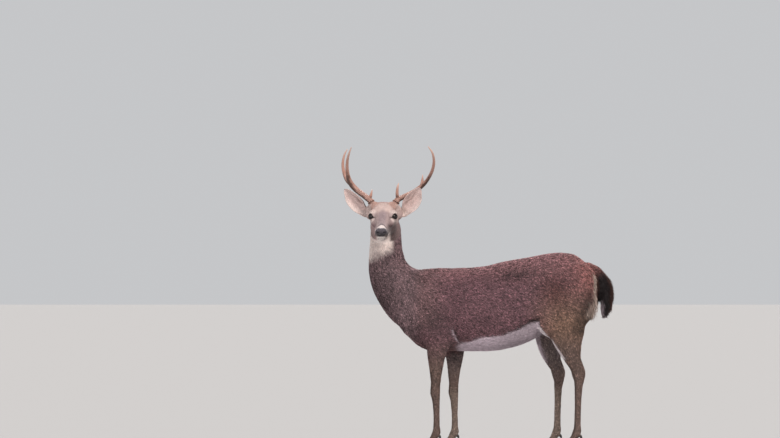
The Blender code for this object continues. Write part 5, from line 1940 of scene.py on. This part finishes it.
@dataclass
class NosePad:
    """The bare pad on the end of the muzzle, with two comma-shaped nostrils."""

    frame: HeadFrame
    centre: ClassVar[tuple] = (0.1835, 0.0, -0.0545)
    halves: ClassVar[tuple] = (0.0195, 0.029, 0.0215)
    face: float = 0.0165  # how far ahead of the centre the pad is flattened

    @classmethod
    def reach(cls, head: Array) -> Array:
        """How far each point of the head lies from the middle of the pad; 1 is its surface."""
        return np.linalg.norm((head - np.array(cls.centre)) / np.array(cls.halves), axis=1)

    def build(self, finish: Finish) -> Object:
        """Shapes the pad from a ball."""
        shape = bmesh.new()
        bmesh.ops.create_icosphere(shape, subdivisions=6, radius=1)
        points = np.array([vertex.co for vertex in shape.verts]) * np.array(self.halves)
        x, y, z = points.T
        below = np.minimum(z, 0) / self.halves[2]
        corner = (2 * y * z / np.maximum(y * y + z * z, 1e-12)) ** 2 * np.hypot(y, z) / 0.029
        y, z = y * (1 + 0.1 * corner + 0.24 * below), z * (1 + 0.1 * corner)
        x = np.where(x > 0, self.face * np.tanh(x / self.face * 1.15), x)
        wing = np.abs(y)
        x = x + 0.0016 * bell(wing, 0.013, 0.006) * bell(z, 0.006, 0.008) * (x > 0)
        x = x - 0.0022 * bell(wing, 0, 0.0022) * ease(z, 0.01, -0.004) * (x > 0)
        curl = (wing - 0.0155) * 0.75
        pit = bell(wing, 0.016, 0.0055) * bell(z - curl, 0.0005, 0.003)
        tailing = bell(wing, 0.0235, 0.004) * bell(z, -0.0015, 0.0022)
        x = x - 0.0085 * np.clip(pit + 0.7 * tailing, 0, 1) * (x > 0)
        moved = np.stack([x, y, z], 1) + np.array(self.centre)
        for vertex, place in zip(shape.verts, moved.tolist()):
            vertex.co = place
        shape.transform(self.frame.matrix)
        obj = dress(piece_of("nose", shape), finish)
        surface = Surface(obj.data)
        # the top of the pad, where the finish paints its highlight
        surface.keep("crest", ease(self.frame.read(surface.points)[:, 2], -0.066, -0.04))
        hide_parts("nose_pad")
        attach(obj, BODY)
        return obj


@dataclass
class Foot:
    """The two toes and the two dewclaws of one leg."""

    side: Side
    leg: str
    nodes: dict[str, Object]
    bevel: float = 0.0016
    under_the_hair: float = 0.003  # how far the top of a toe reaches up into the coat

    def build(self, finish: Finish) -> list[Object]:
        """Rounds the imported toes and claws."""
        made = []
        for which in ("outer", "inner"):
            for part in ("hoof", "dewclaw"):
                name = f"{self.side.value}_{self.leg}_{which}_{part}"
                shape = copied([self.nodes[name]])
                if part == "hoof":
                    self.shape_toe(shape)
                else:
                    self.shape_claw(shape)
                edges = shape.edges
                bmesh.ops.subdivide_edges(shape, edges=edges, cuts=1, smooth=0.6, use_grid_fill=True)
                bmesh.ops.triangulate(shape, faces=[face for face in shape.faces if len(face.verts) > 4])
                obj = piece_of(f"{name}_horn", shape)
                surface = Surface(obj.data)
                floor = surface.points[:, 2]
                surface.keep("worn", ease(floor, 0.012, 0.0) if part == "hoof" else 0 * floor + 0.2)
                dress(obj, finish)
                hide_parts(name)
                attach(obj, BODY)
                made.append(obj)
        return made

    def shape_claw(self, shape: Shape) -> None:
        """Narrows a dewclaw towards its lower end."""
        places = np.array([vertex.co for vertex in shape.verts])
        low, high = places.min(0), places.max(0)
        for vertex in shape.verts:
            share = (vertex.co.z - low[2]) / (high[2] - low[2])
            slim = 0.55 + 0.45 * share**0.5
            vertex.co.x = high[0] + (vertex.co.x - high[0]) * (0.75 + 0.25 * share)
            vertex.co.y = (low[1] + high[1]) / 2 + (vertex.co.y - (low[1] + high[1]) / 2) * slim

    def shape_toe(self, shape: Shape) -> None:
        """Joins the flat faces and bevels the rim of the sole and the coronet."""
        bmesh.ops.dissolve_limit(shape, angle_limit=radians(6), verts=shape.verts, edges=shape.edges)
        shape.normal_update()
        edges, sharp = [edge for edge in shape.edges if edge.is_manifold], radians(55)
        rims = [edge for edge in edges if edge.calc_face_angle() > sharp]
        settings = {"offset": self.bevel, "segments": 2, "profile": 0.5, "affect": "EDGES"}
        bmesh.ops.bevel(shape, geom=rims, material=-1, **settings)
        for vertex in shape.verts:
            if vertex.co.z > 0.015:
                vertex.co.z += self.under_the_hair


# The studio --------------------------------------


@dataclass(frozen=True)
class Lamp:
    """One broad, distant lamp: the way its light comes from, how wide it looks, and its strength."""

    name: str
    compass: float  # degrees round from the camera towards the buck's tail
    height: float  # degrees above the floor
    spread: float  # degrees
    strength: float
    colour: Colour = (1, 1, 1)

    def build(self) -> Object:
        """The lamp as an object."""
        light = bpy.data.lights.new(self.name, "SUN")
        light.angle = radians(self.spread)
        light.energy = self.strength
        light.color = self.colour
        obj = linked(self.name, light)
        turn, rise = radians(self.compass), radians(self.height)
        source = Vector((sin(turn) * cos(rise), -cos(turn) * cos(rise), sin(rise)))
        obj.location = source * 8
        obj.rotation_euler = source.to_track_quat("Z", "Y").to_euler()
        return obj


@dataclass(frozen=True)
class Studio:
    """A pale floor, soft light, and a camera far off at the height of the buck's chest."""

    distance: float = 40.0
    width: float = 3.805  # how much of the scene the picture spans
    middle: tuple[float, float] = (-0.4244, 1.1366)
    height: float = 0.815
    sky: Colour = (0.8, 0.81, 0.83)
    sky_strength: float = 0.7
    lamps: tuple[Lamp, ...] = (
        Lamp("key_lamp", 24, 34, 20, 2.3, (1.0, 0.96, 0.92)),
        Lamp("fill_lamp", -40, 14, 40, 0.84, (0.95, 0.97, 1.0)),
        Lamp("back_lamp", 165, 50, 24, 2.2, (1.0, 0.94, 0.92)),
    )

    def build(self) -> None:
        """Makes the floor, the light and the camera."""
        scene = bpy.context.scene
        scene.view_settings.view_transform = "Standard"
        shape = bmesh.new()
        bmesh.ops.create_circle(shape, cap_ends=True, segments=96, radius=300)
        floor = dress(piece_of("floor", shape), FloorFinish().material())
        world = bpy.data.worlds.new("studio")
        world.use_nodes = True
        sky = world.node_tree.nodes["Background"]
        sky.inputs["Color"].default_value = (*self.sky, 1)
        sky.inputs["Strength"].default_value = self.sky_strength
        scene.world = world
        for lamp in self.lamps:
            lamp.build()
        data = bpy.data.cameras.new("camera")
        data.sensor_width = 36.0
        data.lens = data.sensor_width * self.distance / self.width
        data.clip_end = 400.0
        camera = linked("camera", data)
        camera.location = (self.middle[0], -self.distance, self.height)
        target = Vector((self.middle[0], 0, self.middle[1]))
        camera.rotation_euler = (camera.location - target).to_track_quat("Z", "Y").to_euler()
        scene.camera = camera


def main() -> None:
    """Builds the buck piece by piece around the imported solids."""
    logging.basicConfig(level=logging.INFO, format="%(message)s")
    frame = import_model()
    nodes = frame["nodes"]
    head = HeadFrame()
    eyes = [Eye(head, side) for side in Side]
    ears = [Ear(head, side) for side in Side]
    skin = Skin(head, nodes)
    anatomy = Anatomy(head, {name: nodes[name] for name in skin.stood_for})
    markings = Markings(anatomy)
    skin.build(anatomy, eyes, ears)
    hide = skin.dressed(anatomy, markings, eyes, CoatFinish("coat_skin").material())
    LOG.info("skin: %d triangles", len(hide.surface.triangles))
    coat = Coat(hide, markings, TuftFinish().material())
    for seed, growth in enumerate(growths(head, head.shift()), SEED):
        grown = coat.grow(growth, anatomy, seed)
        LOG.info("%s: %d triangles", grown.name, len(grown.data.polygons))
    eye_finish = EyeFinish().material()
    for eye in eyes:
        LOG.info("%s", eye.build(eye_finish).name)
    antler_finish = AntlerFinish().material()
    for side, rods in ANTLER_RODS.items():
        made = Antler(head, side, rods).build(antler_finish)
        LOG.info("%s: %d faces", made.name, len(made.data.polygons))
    LOG.info("%s", NosePad(head).build(NoseFinish().material()).name)
    horn = HornFinish().material()
    for side in Side:
        for leg in ("foreleg", "hindleg"):
            for made in Foot(side, leg, nodes).build(horn):
                LOG.info("%s", made.name)
    Studio().build()


if __name__ == "__main__":
    main()
